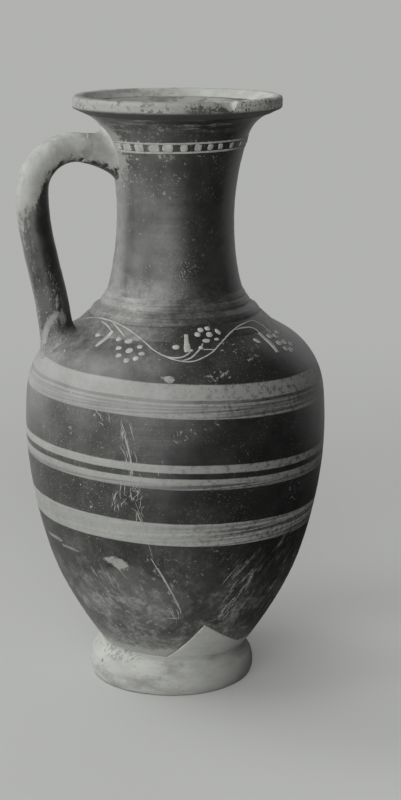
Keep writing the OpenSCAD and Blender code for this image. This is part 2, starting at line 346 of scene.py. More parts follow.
def grow(name, tree, values, mesh=None):
    """Runs a tree with the given inputs and returns the finished plain-mesh object."""
    piece = bpy.data.objects.new(name, mesh or bpy.data.meshes.new(name))
    scene.collection.objects.link(piece)
    modifier = piece.modifiers.new("shape", "NODES")
    modifier.node_group = tree
    for item in tree.interface.items_tree:
        if item.in_out == "INPUT" and item.name in values:
            modifier[item.identifier] = values[item.name]
    applied(piece, modifier).name = name
    return piece


def line_object(name, runs, closed=False):
    """A helper curve object: each run is a list of points, or of (point, half-width) pairs."""
    curve = bpy.data.curves.new(name, "CURVE")
    curve.dimensions = "3D"
    for run in runs:
        spline = curve.splines.new("POLY")
        spline.points.add(len(run) - 1)
        spline.use_cyclic_u = closed
        for target, item in zip(spline.points, run):
            place, half = item if isinstance(item, tuple) else (item, 0.0)
            target.co = (*place, 1.0)
            target.radius = half
    helper = bpy.data.objects.new(name, curve)
    scene.collection.objects.link(helper)
    return helper


# ---------------------------------------------------------------- trees for the clay and the paint

# Noise sizes, per metre: lumps and broad swell of thrown clay, grain of its chips and of the break in the lip, lumps
# and grain of the rod, grain of strokes, drops and pads
LUMPS = 160.0
SWELLS = 16.0
CHIP_GRAIN = 500.0
BREAK_GRAIN = 420.0
ROD_LUMPS = 45.0
ROD_GRAIN = 260.0
STROKE_GRAIN = 900.0
DROP_GRAIN = 420.0
PAD_GRAIN = 110.0

# Throwing rings run round the jar: their noise hardly changes along X and Y
RING_STRETCH = (0.02, 0.02, 1.0)

# Doubled points of a spun seam or pole are merged within this distance (metres)
SEAM_WELD = 2e-6

# Chips that a thrown piece may have, corners of a stroke's and of the rod's section, facets of a drop
CHIP_COUNT = 2
STROKE_CORNERS = 28
ROD_CORNERS = 56
DROP_FACETS = {"Segments": 24, "Rings": 8}


def turned_clay_tree():
    """A thrown piece: an outline spun round the axis, with throwing rings, unevenness and chips."""
    tree, given = shape_tree("turned clay", [
        ("Outline", "Object"), ("Around", "Int"), ("Along", "Int"), ("Ring depth", "Float"),
        ("Ring pitch", "Float"), ("Unevenness", "Float"), ("Swell", "Float"), ("Seed", "Float")]
        + [(f"Chip {i} {what}", kind) for i in range(CHIP_COUNT)
           for what, kind in (("place", "Vector"), ("radius", "Float"))] + [("Material", "Material")])
    grid = put(tree, "GeometryNodeMeshGrid", {"Size X": 1.0, "Size Y": 1.0, "Vertices X": given["Around"],
                                              "Vertices Y": given["Along"]}).outputs["Mesh"]
    flat = parts_of(tree, here(tree))
    turn = sums(tree, "MULTIPLY", sums(tree, "ADD", flat["X"], 0.5), 2.0 * math.pi)
    run = sums(tree, "ADD", flat["Y"], 0.5)
    sample = put(tree, "GeometryNodeSampleCurve", {"Curves": shape_of(tree, given["Outline"]), "Factor": run},
                 mode="FACTOR", use_all_curves=True)
    edge = parts_of(tree, sample.outputs["Position"])
    spun = vector_of(tree, sums(tree, "MULTIPLY", edge["X"], sums(tree, "COSINE", turn)),
                     sums(tree, "MULTIPLY", edge["X"], sums(tree, "SINE", turn)), edge["Z"])
    mesh = moved(tree, grid, Position=spun)
    mesh = put(tree, "GeometryNodeMergeByDistance", {0: mesh, "Distance": SEAM_WELD}).outputs[0]
    place = here(tree)
    rings = clay_noise(tree, vectors(tree, "MULTIPLY", place, RING_STRETCH),
                       sums(tree, "DIVIDE", 1.0, given["Ring pitch"]), 2.0, 0.4, given["Seed"])
    lumps = clay_noise(tree, place, LUMPS, 2.0, 0.5, given["Seed"])
    swell = clay_noise(tree, place, SWELLS, 1.0, 0.4, given["Seed"])
    rise = spread_of(tree, rings, given["Ring depth"])
    rise = sums(tree, "ADD", rise, spread_of(tree, lumps, given["Unevenness"]))
    rise = sums(tree, "ADD", rise, spread_of(tree, swell, given["Swell"]))
    mesh = moved(tree, mesh, Offset=scaled(tree, skin_normal(tree), rise))
    for i in range(CHIP_COUNT):
        centre = given[f"Chip {i} place"]
        gap = vectors(tree, "SUBTRACT", place, centre)
        grain = clay_noise(tree, place, CHIP_GRAIN, 3.0, 0.6, float(i))
        reach = sums(tree, "MULTIPLY", given[f"Chip {i} radius"], sums(tree, "MULTIPLY_ADD", grain, 0.16, 0.92))
        inside = sums(tree, "LESS_THAN", vectors(tree, "LENGTH", gap, result=1), reach)
        shell = scaled(tree, vectors(tree, "NORMALIZE", gap), reach)
        mesh = moved(tree, mesh, Selection=inside, Position=vectors(tree, "ADD", centre, shell))
    return close_tree(tree, mesh, given["Material"])


def painted_stroke_tree():
    """Strokes of slip laid on a carrier: round runs pressed into low lenses that follow its surface."""
    tree, given = shape_tree("painted stroke", [
        ("Strokes", "Object"), ("Carrier", "Object"), ("Height", "Float"), ("Step", "Float"),
        ("Raggedness", "Float"), ("Seed", "Float"), ("Material", "Material")])
    lines = rounded_line(tree, given["Strokes"], given["Step"])
    on_skin, facing = on_carrier(tree, shape_of(tree, given["Carrier"]))
    lines = moved(tree, lines, Position=on_skin)
    place = here(tree)
    half = put(tree, "GeometryNodeInputRadius").outputs[0]
    grain = clay_noise(tree, place, STROKE_GRAIN, 2.0, 0.6, given["Seed"])
    uneven = sums(tree, "MULTIPLY", half, sums(tree, "ADD", 1.0, spread_of(tree, grain, given["Raggedness"])))
    lines = put(tree, "GeometryNodeSetCurveRadius", {0: lines, "Radius": uneven}).outputs[0]
    lines = store_value(tree, lines, "half_width", half)
    mesh = round_run(tree, lines, STROKE_CORNERS)
    rise = vectors(tree, "DOT_PRODUCT", vectors(tree, "SUBTRACT", place, on_skin), facing, result=1)
    flatness = sums(tree, "DIVIDE", given["Height"], kept_value(tree, "half_width"))
    press = sums(tree, "MULTIPLY", rise, sums(tree, "SUBTRACT", flatness, 1.0))
    mesh = moved(tree, mesh, Offset=scaled(tree, facing, press))
    mesh = put(tree, "GeometryNodeRemoveAttribute", {0: mesh, "Name": "half_width"}).outputs[0]
    return close_tree(tree, mesh, given["Material"])


def slip_drop_tree():
    """Drops of slip set on a carrier: low domes with their own length, breadth and turn."""
    tree, given = shape_tree("slip drops", [
        ("Carrier", "Object"), ("Height", "Float"), ("Raggedness", "Float"), ("Squareness", "Float"),
        ("Seed", "Float"), ("Material", "Material")])
    points = put(tree, "GeometryNodeMeshToPoints", {0: given["Geometry"]}).outputs[0]
    on_skin, facing = on_carrier(tree, shape_of(tree, given["Carrier"]))
    points = moved(tree, points, Position=on_skin)
    flat = parts_of(tree, here(tree))
    level = vector_of(tree, sums(tree, "MULTIPLY", flat["Y"], -1.0), flat["X"])
    upright = put(tree, "FunctionNodeAxesToRotation", {"Primary Axis": facing, "Secondary Axis": level},
                  primary_axis="Z", secondary_axis="X").outputs[0]
    spin = put(tree, "FunctionNodeAxisAngleToRotation", {"Axis": (0.0, 0.0, 1.0),
                                                         "Angle": kept_value(tree, "spin")}).outputs[0]
    turned = put(tree, "FunctionNodeRotateRotation", {"Rotation": upright, "Rotate By": spin},
                 rotation_space="LOCAL").outputs[0]
    spread = vector_of(tree, kept_value(tree, "breadth"), kept_value(tree, "length"), given["Height"])
    dome = put(tree, "GeometryNodeMeshUVSphere", {**DROP_FACETS, "Radius": 1.0}).outputs["Mesh"]
    corner = parts_of(tree, vectors(tree, "ABSOLUTE", here(tree)))
    ring = sums(tree, "SQRT", sums(tree, "ADD", sums(tree, "MULTIPLY", corner["X"], corner["X"]),
                                   sums(tree, "MULTIPLY", corner["Y"], corner["Y"])))
    widest = sums(tree, "MAXIMUM", sums(tree, "MAXIMUM", corner["X"], corner["Y"]), 1e-4)
    stretch = sums(tree, "MULTIPLY_ADD", sums(tree, "SUBTRACT", sums(tree, "DIVIDE", ring, widest), 1.0),
                   given["Squareness"], 1.0)
    squared = vectors(tree, "MULTIPLY", here(tree), vector_of(tree, stretch, stretch, 1.0))
    dome = moved(tree, dome, Position=squared)
    drops = put(tree, "GeometryNodeInstanceOnPoints", {"Points": points, "Instance": dome,
                                                       "Rotation": turned, "Scale": spread}).outputs[0]
    drops = put(tree, "GeometryNodeRealizeInstances", {0: drops}).outputs[0]
    grain = put(tree, "ShaderNodeTexNoise", {"Vector": here(tree), "W": given["Seed"], "Scale": DROP_GRAIN,
                                             "Detail": 1.0}, noise_dimensions="4D").outputs["Color"]
    shift = scaled(tree, vectors(tree, "SUBTRACT", grain, (0.5, 0.5, 0.5)), given["Raggedness"])
    return close_tree(tree, moved(tree, drops, Offset=shift), given["Material"])


def pulled_rod_tree():
    """A pulled rod: a route swept with a slightly flattened section, and a map of its outer side."""
    tree, given = shape_tree("pulled rod", [
        ("Route", "Object"), ("Step", "Float"), ("Flatness", "Float"), ("Unevenness", "Float"),
        ("Middle", "Vector"), ("Seed", "Float"), ("Material", "Material")])
    mesh = round_run(tree, rounded_line(tree, given["Route"], given["Step"]), ROD_CORNERS)
    place, normal = here(tree), skin_normal(tree)
    out = vectors(tree, "NORMALIZE", vectors(tree, "SUBTRACT", place, given["Middle"]))
    outer = vectors(tree, "DOT_PRODUCT", normal, out, result=1)
    mesh = store_value(tree, mesh, "outer", outer)
    lumps = clay_noise(tree, place, ROD_LUMPS, 2.0, 0.5, given["Seed"])
    grain = clay_noise(tree, place, ROD_GRAIN, 2.0, 0.5, given["Seed"])
    rise = spread_of(tree, lumps, given["Unevenness"])
    rise = sums(tree, "ADD", rise, spread_of(tree, grain, sums(tree, "MULTIPLY", given["Unevenness"], 0.3)))
    flattened = sums(tree, "MULTIPLY", sums(tree, "MULTIPLY", outer, outer), given["Flatness"])
    rise = sums(tree, "SUBTRACT", rise, flattened)
    return close_tree(tree, moved(tree, mesh, Offset=scaled(tree, normal, rise)), given["Material"])


# ---------------------------------------------------------------- finishes

# Colours: bare clay, black slip, the slip of the bands, plaster, the studio's paper lit and as an even tone
CLAY = (0.385, 0.392, 0.368)
SLIP = (0.0105, 0.0108, 0.0099)
PAINT = (0.285, 0.291, 0.273)
PLASTER = (0.5, 0.508, 0.481)
PAPER = (0.35, 0.3552, 0.3465)
PAPER_TONE = (0.09, 0.0914, 0.0891)

# Roughness of worn clay and of the bands
CLAY_ROUGH = 0.68
PAINT_ROUGH = 0.62

# Radius at which slanting marks are laid out on the wall (mm), and the soft share of a patch's edge
SLANT_R = 60.0
PATCH_SOFT = 0.12


class Finish:
    """A procedural finish on object coordinates: each call adds shader nodes and returns an output."""

    def __init__(self, name):
        self.material = bpy.data.materials.new(name)
        self.material.use_nodes = True
        self.tree = self.material.node_tree
        self.tree.nodes.clear()
        self.place = put(self.tree, "ShaderNodeTexCoord").outputs["Object"]
        self.height = self.along((0.0, 0.0, 1.0))
        self.right = self.along(tuple(VIEW_RIGHT))
        self.front = self.along(tuple(-VIEW_AWAY))
        self.radius = self.math("SQRT", self.math("ADD", self.math("MULTIPLY", self.right, self.right),
                                                  self.math("MULTIPLY", self.front, self.front)))
        self.turn = self.math("MULTIPLY", self.math("ARCTAN2", self.right, self.front), 180.0 / math.pi)

    def math(self, operation, *values):
        """A Math node's result in this finish."""
        return sums(self.tree, operation, *values)

    def noise(self, scale, detail, rough, seed, stretch=(1.0, 1.0, 1.0)):
        """Noise between 0 and 1, finer along an axis that is stretched."""
        place = vectors(self.tree, "MULTIPLY", self.place, stretch)
        return clay_noise(self.tree, place, scale, detail, rough, seed)

    def along(self, direction):
        """Position along a direction, in mm."""
        return self.math("MULTIPLY", vectors(self.tree, "DOT_PRODUCT", self.place, direction, result=1),
                         1.0 / MM)

    def slanted(self, slope, length, breadth, seed):
        """Noise drawn out along a slope on the front of the wall (degrees from level); lengths in mm."""
        level = self.math("MULTIPLY", self.turn, SLANT_R * math.pi / 180.0)
        c, s = math.cos(math.radians(slope)), math.sin(math.radians(slope))
        run = self.math("MULTIPLY_ADD", level, c / length, self.math("MULTIPLY", self.height, s / length))
        cross = self.math("MULTIPLY_ADD", level, -s / breadth, self.math("MULTIPLY", self.height, c / breadth))
        return clay_noise(self.tree, vector_of(self.tree, run, cross), 1.0, 4.0, 0.65, seed)

    def step(self, value, low, high):
        """Smooth step from 0 at low to 1 at high (or the other way round when low is above high)."""
        return put(self.tree, "ShaderNodeMapRange", {"Value": value, "From Min": low, "From Max": high},
                   interpolation_type="SMOOTHSTEP").outputs[0]

    def between(self, value, low, high, soft):
        """1 between two limits, 0 outside them, with soft edges."""
        return self.math("MULTIPLY", self.step(value, low - soft, low + soft),
                         self.step(value, high + soft, high - soft))

    def both(self, *values):
        """Product: there only where all of them are."""
        result = values[0]
        for value in values[1:]:
            result = self.math("MULTIPLY", result, value)
        return result

    def either(self, *values):
        """Largest: there where any of them is."""
        result = values[0]
        for value in values[1:]:
            result = self.math("MAXIMUM", result, value)
        return result

    def less(self, value):
        """What is left of 1."""
        return self.math("SUBTRACT", 1.0, value)

    def frayed(self, far, scale, grain, ragged):
        """A distance, scaled and made ragged by a noise."""
        return self.math("MULTIPLY_ADD", far, scale, self.math("MULTIPLY_ADD", grain, 2.0 * ragged, -ragged))

    def near(self, centre, inner, outer, grain, ragged):
        """1 near a point (metres), 0 beyond it; radii in mm, the edge made ragged by a noise, in mm."""
        far = vectors(self.tree, "DISTANCE", self.place, tuple(centre), result=1)
        return self.step(self.frayed(far, 1.0 / MM, grain, ragged), outer, inner)

    def near_line(self, one, two, inner, outer, grain, ragged):
        """As near, measured from a straight line between two points (metres)."""
        run = two - one
        from_one = vectors(self.tree, "SUBTRACT", self.place, tuple(one))
        share = vectors(self.tree, "DOT_PRODUCT", from_one, tuple(run / run.length_squared), result=1)
        share = self.math("MINIMUM", self.math("MAXIMUM", share, 0.0), 1.0)
        far = vectors(self.tree, "DISTANCE", from_one, scaled(self.tree, tuple(run), share), result=1)
        return self.step(self.frayed(far, 1.0 / MM, grain, ragged), outer, inner)

    def patch(self, turn, height, across, up, grain, ragged):
        """1 inside a ragged oval on the wall: turn in degrees, height and half-sizes in mm."""
        arc = self.math("MULTIPLY", self.math("SUBTRACT", self.turn, turn), math.pi / 180.0 / across)
        side = self.math("MULTIPLY", arc, self.radius)
        rise = self.math("MULTIPLY_ADD", self.height, 1.0 / up, -height / up)
        far = self.math("SQRT", self.math("MULTIPLY_ADD", side, side, self.math("MULTIPLY", rise, rise)))
        return self.step(self.frayed(far, 1.0, grain, ragged), 1.0 + PATCH_SOFT, 1.0 - PATCH_SOFT)

    def flakes(self, scale, share, size, seed):
        """Small ragged spots: a share of the cells carries one."""
        warp = put(self.tree, "ShaderNodeTexNoise", {"Vector": self.place, "Scale": scale * 1.7,
                                                     "Detail": 2.0}, noise_dimensions="3D")
        place = vectors(self.tree, "ADD", self.place, scaled(self.tree, warp.outputs["Color"], 1.3 / scale))
        cells = put(self.tree, "ShaderNodeTexVoronoi", {"Vector": place, "W": seed, "Scale": scale},
                    voronoi_dimensions="4D")
        pick = put(self.tree, "ShaderNodeSeparateColor", {0: cells.outputs["Color"]}).outputs[0]
        chosen = self.step(pick, 1.0 - share, 1.0 - share + 0.01)
        grown = self.math("MULTIPLY", self.math("MULTIPLY_ADD", pick, 0.5, 0.6), size)
        edge = self.math("SUBTRACT", grown, cells.outputs["Distance"])
        return self.both(chosen, self.step(edge, 0.0, 0.06))

    def blend(self, factor, one, two):
        """One colour that gives way to another as a factor goes from 0 to 1."""
        one, two = ((*colour, 1.0) if isinstance(colour, tuple) else colour for colour in (one, two))
        return put(self.tree, "ShaderNodeMix", {0: factor, 6: one, 7: two},
                   data_type="RGBA", blend_type="MIX").outputs[2]

    def shade(self, factor, low, high):
        """A grey multiplier between low and high."""
        return self.math("MULTIPLY_ADD", factor, high - low, low)

    def tone(self, colour, factor):
        """A colour made darker or lighter by a factor."""
        return scaled(self.tree, colour, factor)

    def attribute(self, name):
        """A number that the piece carries on its points."""
        return put(self.tree, "ShaderNodeAttribute", attribute_name=name).outputs["Fac"]

    def close(self, colour, roughness, relief, depth, specular):
        """Ends the finish in one shader with colour, roughness and fine relief (depth in mm)."""
        bump = put(self.tree, "ShaderNodeBump", {"Height": relief, "Strength": 1.0, "Distance": depth * MM})
        shader = put(self.tree, "ShaderNodeBsdfPrincipled", {
            "Base Color": colour, "Roughness": roughness, "Normal": bump.outputs[0],
            "Specular IOR Level": specular})
        put(self.tree, "ShaderNodeOutputMaterial", {0: shader.outputs[0]})
        return self.material


def pale_clay_finish():
    """Bare fired clay of the foot: rubbed, smeared, pitted and a little cracked at its top."""
    f = Finish("pale_clay")
    broad = f.noise(22.0, 3.0, 0.55, 1.0)
    smear = f.noise(60.0, 5.0, 0.65, 2.0, (1.0, 1.0, 2.6))
    fine = f.noise(900.0, 3.0, 0.6, 3.0)
    turning = f.noise(1.0, 2.0, 0.5, 4.0, (25.0, 25.0, 900.0))
    grey = f.both(f.shade(f.step(broad, 0.3, 0.7), 0.93, 1.04), f.shade(f.step(smear, 0.42, 0.68), 1.03, 0.86),
                  f.shade(turning, 0.96, 1.04))
    wash = f.both(f.step(f.noise(34.0, 6.0, 0.7, 8.0, (1.0, 1.0, 2.2)), 0.5, 0.66), 0.42)
    pits = f.flakes(700.0, 0.05, 0.3, 5.0)
    cracks = f.slanted(52.0, 9.0, 3.2, 6.0)
    cracks = f.step(f.math("ABSOLUTE", f.math("SUBTRACT", cracks, 0.5)), 0.02, 0.004)
    cracks = f.both(cracks, f.patch(-47.0, 19.0, 13.0, 6.0, smear, 0.8))
    spot = f.near(around(-58.0, 41.5, 11.5) - VIEW_RIGHT * FOOT_OFF * MM, 0.5, 1.3, smear, 0.4)
    # darker towards the bottom edge of the foot
    darker_at_bottom = f.both(f.step(f.math("MULTIPLY_ADD", smear, 4.0, f.height), 3.4, 1.2), 0.5)
    dark = f.either(f.both(pits, 0.45), wash, f.both(cracks, 0.55), f.both(spot, 0.85), darker_at_bottom)
    colour = f.tone(CLAY, f.both(grey, f.shade(dark, 1.0, 0.25)))
    relief = f.math("ADD", f.math("MULTIPLY_ADD", fine, 0.5, turning),
                    f.math("MULTIPLY", f.either(pits, cracks), -1.2))
    return f.close(colour, f.shade(smear, 0.62, 0.8), relief, 0.12, 0.35)


def plaster_finish():
    """Smooth plaster of the fill, toned down, with wiping marks."""
    f = Finish("plaster")
    broad = f.noise(40.0, 3.0, 0.5, 1.0)
    wipe = f.noise(110.0, 5.0, 0.65, 2.0, (1.0, 1.0, 2.2))
    fine = f.noise(700.0, 3.0, 0.6, 3.0)
    grey = f.both(f.shade(f.step(broad, 0.3, 0.7), 0.94, 1.05), f.shade(f.step(wipe, 0.45, 0.7), 1.02, 0.88))
    return f.close(f.tone(PLASTER, grey), f.shade(wipe, 0.66, 0.8),
                   f.math("MULTIPLY_ADD", wipe, 0.8, fine), 0.1, 0.3)


def painted_slip_finish():
    """Thin pale slip of the ornament, rubbed and a little patchy."""
    f = Finish("pale_paint")
    patch = f.noise(260.0, 5.0, 0.65, 1.0)
    fine = f.noise(1400.0, 2.0, 0.5, 2.0)
    # patchy and grainy tone, with painted shade and light: darker on the viewer's lit left, lighter to the right
    grey = f.both(f.shade(f.step(patch, 0.35, 0.65), 0.78, 1.04), f.shade(fine, 0.9, 1.06),
                  f.shade(f.step(f.right, -20.0, 40.0), 0.88, 1.06))
    return f.close(f.tone(CLAY, grey), f.shade(patch, 0.6, 0.75), fine, 0.06, 0.3)


def slip_base(f):
    """The black slip itself: colour, roughness and relief; its brushing and mottling stay with the finish."""
    broad = f.noise(14.0, 3.0, 0.5, 11.0)
    f.mottle = f.noise(55.0, 4.0, 0.6, 12.0)
    f.brushed = f.noise(1.0, 3.0, 0.6, 13.0, (14.0, 14.0, 520.0))
    fine = f.noise(1200.0, 3.0, 0.6, 14.0)
    grey = f.both(f.shade(f.step(broad, 0.3, 0.7), 0.75, 1.3), f.shade(f.mottle, 0.7, 1.35),
                  f.shade(f.brushed, 0.85, 1.2))
    rough = f.math("ADD", f.shade(f.step(f.mottle, 0.3, 0.7), 0.35, 0.45), f.math("MULTIPLY", fine, 0.05))
    relief = f.math("MULTIPLY_ADD", f.brushed, 0.8, f.math("MULTIPLY", fine, 0.5))
    return f.tone(SLIP, grey), rough, relief


def wear_down(f, slip, rough, relief, worn, clay):
    """Ends a slip finish: where it is worn the matt clay, toned by a factor, shows and lies a little deeper."""
    colour = f.blend(worn, slip, f.tone(CLAY, clay))
    rough = f.math("MULTIPLY_ADD", f.math("SUBTRACT", CLAY_ROUGH, rough), worn, rough)
    specular = f.both(f.shade(f.step(f.mottle, 0.3, 0.7), 0.5, 1.08), f.shade(worn, 1.0, 0.4))
    return f.close(colour, rough, f.math("MULTIPLY_ADD", worn, -1.0, relief), 0.1, specular)


# Painted bands: lower and upper edge and softness (mm); dark brush lines in the top one: middle and half-width (mm),
# strength at the viewer's left and right
BANDS = [(153.5, 169.0, 0.3), (127.0, 130.9, 0.28), (118.9, 124.1, 0.28), (89.3, 101.1, 0.3)]
DARK_LINES = [(161.3, 0.75, 0.5, 0.95), (159.0, 0.45, 0.4, 0.9), (157.4, 0.3, 0.3, 0.75)]

# Ovals on the body with clusters of crumbs, and with smears: turn in degrees, height and half-sizes in mm, and
# how ragged a smear is
CLUSTERS = [
    (-25.0, 151.3, 7.0, 3.0), (6.0, 146.0, 5.0, 5.0), (15.0, 151.0, 3.5, 3.0), (27.0, 152.3, 6.0, 1.4),
    (-15.5, 136.0, 3.0, 10.0), (-16.0, 114.0, 6.0, 8.0), (17.0, 171.4, 11.0, 2.6), (34.0, 181.0, 10.0, 5.0),
    (-42.0, 138.0, 2.0, 9.0), (38.0, 120.0, 8.0, 2.0), (-2.0, 70.0, 14.0, 14.0), (-30.0, 48.0, 22.0, 14.0),
    (32.0, 44.0, 12.0, 12.0), (52.0, 112.0, 5.0, 8.0),
]
SMEARS = [
    (31.0, 41.0, 3.6, 9.0, 1.6), (-39.5, 52.6, 8.0, 4.0, 2.0), (-21.0, 56.6, 7.0, 3.0, 2.0),
    (-8.0, 50.0, 6.0, 5.0, 2.0), (45.0, 31.0, 7.0, 4.0, 1.4), (-20.0, 31.0, 12.0, 4.0, 1.8),
]


def black_slip_finish():
    """Slip of the body with its pale bands, scuffs, flakes and the bare clay next to the foot."""
    f = Finish("black_slip")
    slip, rough, relief = slip_base(f)
    fields = f.noise(26.0, 4.0, 0.6, 33.0)
    cloud = f.noise(90.0, 6.0, 0.7, 34.0)
    grit = f.noise(420.0, 4.0, 0.7, 25.0)
    low = f.step(f.height, 96.0, 34.0)
    high = f.step(f.height, 160.0, 184.0)
    left = f.step(f.right, 30.0, -30.0)
    facing = f.step(f.front, 0.0, 20.0)
    # a dull veil over the slip, thickest on the shoulder and low down; towards the viewer's left it is paler, a
    # painted sheen
    veil = f.either(f.both(low, f.shade(left, 0.1, 0.2)),
                    f.both(high, f.shade(f.step(f.right, 8.0, -16.0), 0.024, 0.17)), f.shade(left, 0.008, 0.045))
    veil = f.both(veil, f.shade(f.step(cloud, 0.32, 0.68), 0.3, 1.5), f.shade(f.step(fields, 0.35, 0.65), 0.6, 1.3),
                  f.shade(f.step(grit, 0.35, 0.65), 0.6, 1.4))
    smudge = f.both(f.patch(-24.0, 56.0, 26.0, 17.0, fields, 1.4), f.shade(cloud, 0.3, 1.7), 0.13)
    # painted sheen: the collar's top made paler towards the viewer's left
    painted_sheen = f.both(f.step(f.height, 190.0, 199.0), f.shade(f.step(f.right, 4.0, -18.0), 0.03, 0.26))
    slip = f.blend(f.math("ADD", f.math("ADD", veil, smudge), painted_sheen), slip, CLAY)
    # painted bands with the brush's dark streaks, more of them to the viewer's right
    wobble = f.noise(1.0, 3.0, 0.6, 21.0, (30.0, 30.0, 60.0))
    painted = f.along((VIEW_RIGHT.x * BAND_DROP, VIEW_RIGHT.y * BAND_DROP, 1.0))
    painted = f.math("ADD", painted, f.math("MULTIPLY_ADD", wobble, 1.3, -0.65))
    right = f.step(f.right, -25.0, 62.0)
    hair = f.noise(1.0, 2.0, 0.6, 22.0, (7.0, 7.0, 1300.0))
    hairs = f.step(hair, 0.46, 0.58)
    brush = f.step(f.noise(1.0, 3.0, 0.6, 24.0, (10.0, 10.0, 620.0)), 0.44, 0.58)
    comes = f.step(f.noise(1.0, 3.0, 0.6, 26.0, (26.0, 26.0, 130.0)), 0.3, 0.6)
    pale = f.either(*[f.between(painted, *band) for band in BANDS])
    dark_lines = [f.both(f.between(painted, middle - half, middle + half, 0.25), f.shade(right, faint, strong),
                         f.shade(comes, 0.45, 1.0)) for middle, half, faint, strong in DARK_LINES]
    streaks = f.either(
        *dark_lines,
        f.both(hairs, f.between(painted, 153.9, 158.4, 0.4), f.shade(right, 0.35, 0.8)),
        f.both(brush, f.between(painted, 154.5, 161.5, 1.0), f.step(f.right, 5.0, 62.0), 0.9),
        f.both(hairs, f.between(painted, 118.9, 121.5, 0.5), f.shade(right, 0.4, 0.85)),
        f.both(brush, f.between(painted, 91.2, 98.4, 1.2), f.step(f.right, 0.0, 40.0), 0.85),
        f.both(hairs, f.between(painted, 89.3, 101.1, 0.5), f.shade(right, 0.1, 0.7)))
    lost = f.both(f.flakes(800.0, 0.1, 0.33, 27.0), f.shade(right, 0.35, 1.0), f.step(fields, 0.3, 0.5))
    rubbed = f.both(f.step(grit, 0.48, 0.62), f.shade(right, 0.16, 0.95))
    cover = f.both(pale, f.less(streaks), f.less(f.both(lost, 0.8)), f.less(f.both(rubbed, 0.7)))
    # tone of the bands: brushing, random clouds and a darker lower part of the second band, with painted shade and
    # light by side: darker to the viewer's right as thinner paint and painted shade, darker at the far left and at
    # the top band's left, the lowest band lighter to the right
    top_left = f.both(f.step(painted, 140.0, 145.0), f.step(f.right, 22.0, -18.0))
    bottom = f.both(f.step(painted, 110.0, 106.0), f.shade(right, 0.25, 1.0))
    band_tone = f.both(f.shade(f.brushed, 0.84, 1.1), f.shade(right, 1.0, 0.84), f.shade(cloud, 0.8, 1.15),
                       f.shade(f.step(f.right, -24.0, -64.0), 1.0, 0.8), f.shade(top_left, 1.0, 0.8),
                       f.shade(bottom, 1.0, 1.65), f.shade(f.between(painted, 118.9, 121.4, 0.5), 1.0, 0.85))
    slip = f.blend(cover, slip, f.tone(PAINT, band_tone))
    rough = f.math("MULTIPLY_ADD", f.math("SUBTRACT", PAINT_ROUGH, rough), f.both(cover, 0.8), rough)
    relief = f.math("MULTIPLY_ADD", cover, 0.4, relief)
    # flecks all over, thicker in fields and in a few clusters
    flecks = f.both(f.either(f.flakes(430.0, 0.05, 0.25, 31.0), f.flakes(1100.0, 0.16, 0.31, 32.0),
                             f.flakes(1900.0, 0.2, 0.36, 37.0)),
                    f.step(fields, 0.36, 0.56), f.shade(left, 0.55, 1.0), f.shade(grit, 0.4, 1.3))
    crumbs = f.step(grit, 0.57, 0.63)
    clusters = f.either(*[f.patch(*oval, cloud, 2.2) for oval in CLUSTERS])
    clusters = f.either(f.both(clusters, crumbs),
                        f.both(f.patch(18.0, 171.8, 7.5, 1.7, cloud, 2.2), f.step(grit, 0.53, 0.58)))
    tattered = f.math("MULTIPLY_ADD", grit, 0.5, f.both(cloud, 0.5))
    oval = f.either(f.patch(-22.6, 77.0, 3.6, 2.6, tattered, 3.2),
                    f.both(f.patch(-26.5, 79.4, 4.2, 1.9, tattered, 4.0), f.step(grit, 0.36, 0.56)))
    mark = f.both(f.patch(-1.8, 171.0, 2.7, 1.4, cloud, 2.4), f.shade(f.step(grit, 0.4, 0.55), 0.5, 1.0))
    # scuffs: clouds low down, slanting rubs on both sides, bare clay next to the foot
    speckle = f.shade(f.step(grit, 0.42, 0.6), 0.35, 1.0)
    scuffs = f.both(f.step(f.math("MULTIPLY_ADD", fields, 0.5, cloud), 0.71, 0.9), low, f.shade(left, 0.5, 0.85),
                    speckle, 0.85)
    rub_left = f.both(f.step(f.slanted(-58.0, 18.0, 3.4, 35.0), 0.5, 0.72), f.step(f.right, 12.0, -24.0),
                      f.step(f.height, 84.0, 58.0), speckle, 0.62)
    rub_right = f.both(f.step(f.slanted(57.0, 17.0, 3.0, 36.0), 0.5, 0.7), f.step(f.right, 16.0, 34.0),
                       f.step(f.height, 104.0, 66.0), speckle, 0.95)
    smear = f.either(*[f.patch(*oval, cloud, ragged) for *oval, ragged in SMEARS])
    smear = f.both(smear, f.shade(f.step(grit, 0.4, 0.6), 0.3, 1.0), 0.55)
    scrape = f.either(f.patch(-61.0, 82.2, 9.0, 0.9, tattered, 3.6), f.patch(-50.0, 79.8, 7.0, 0.8, tattered, 4.0))
    scrape = f.both(scrape, f.shade(f.step(grit, 0.36, 0.56), 0.3, 1.0), 0.6)
    ragged = f.math("MULTIPLY_ADD", tattered, 34.0, -17.0)
    bare = f.step(f.math("ADD", f.height, ragged), 25.6, 24.2)
    skirt = f.both(f.step(f.math("MULTIPLY_ADD", ragged, 0.8, f.height), 38.0, 25.0), speckle, 0.7)
    worn_rings = f.both(f.shade(f.step(hair, 0.48, 0.6), 0.3, 1.0), f.step(f.height, 190.0, 197.0),
                        f.step(cloud, 0.36, 0.56), speckle, f.shade(f.step(f.right, 4.0, -18.0), 0.3, 0.7))
    worn = f.either(f.both(flecks, 0.8), f.both(clusters, 0.6), f.both(oval, 0.8), f.both(mark, 0.7), smear,
                    f.both(f.either(rub_left, rub_right), facing), scuffs, scrape, bare, skirt, worn_rings)
    return wear_down(f, slip, rough, relief, worn, f.shade(cloud, 0.76, 1.02))


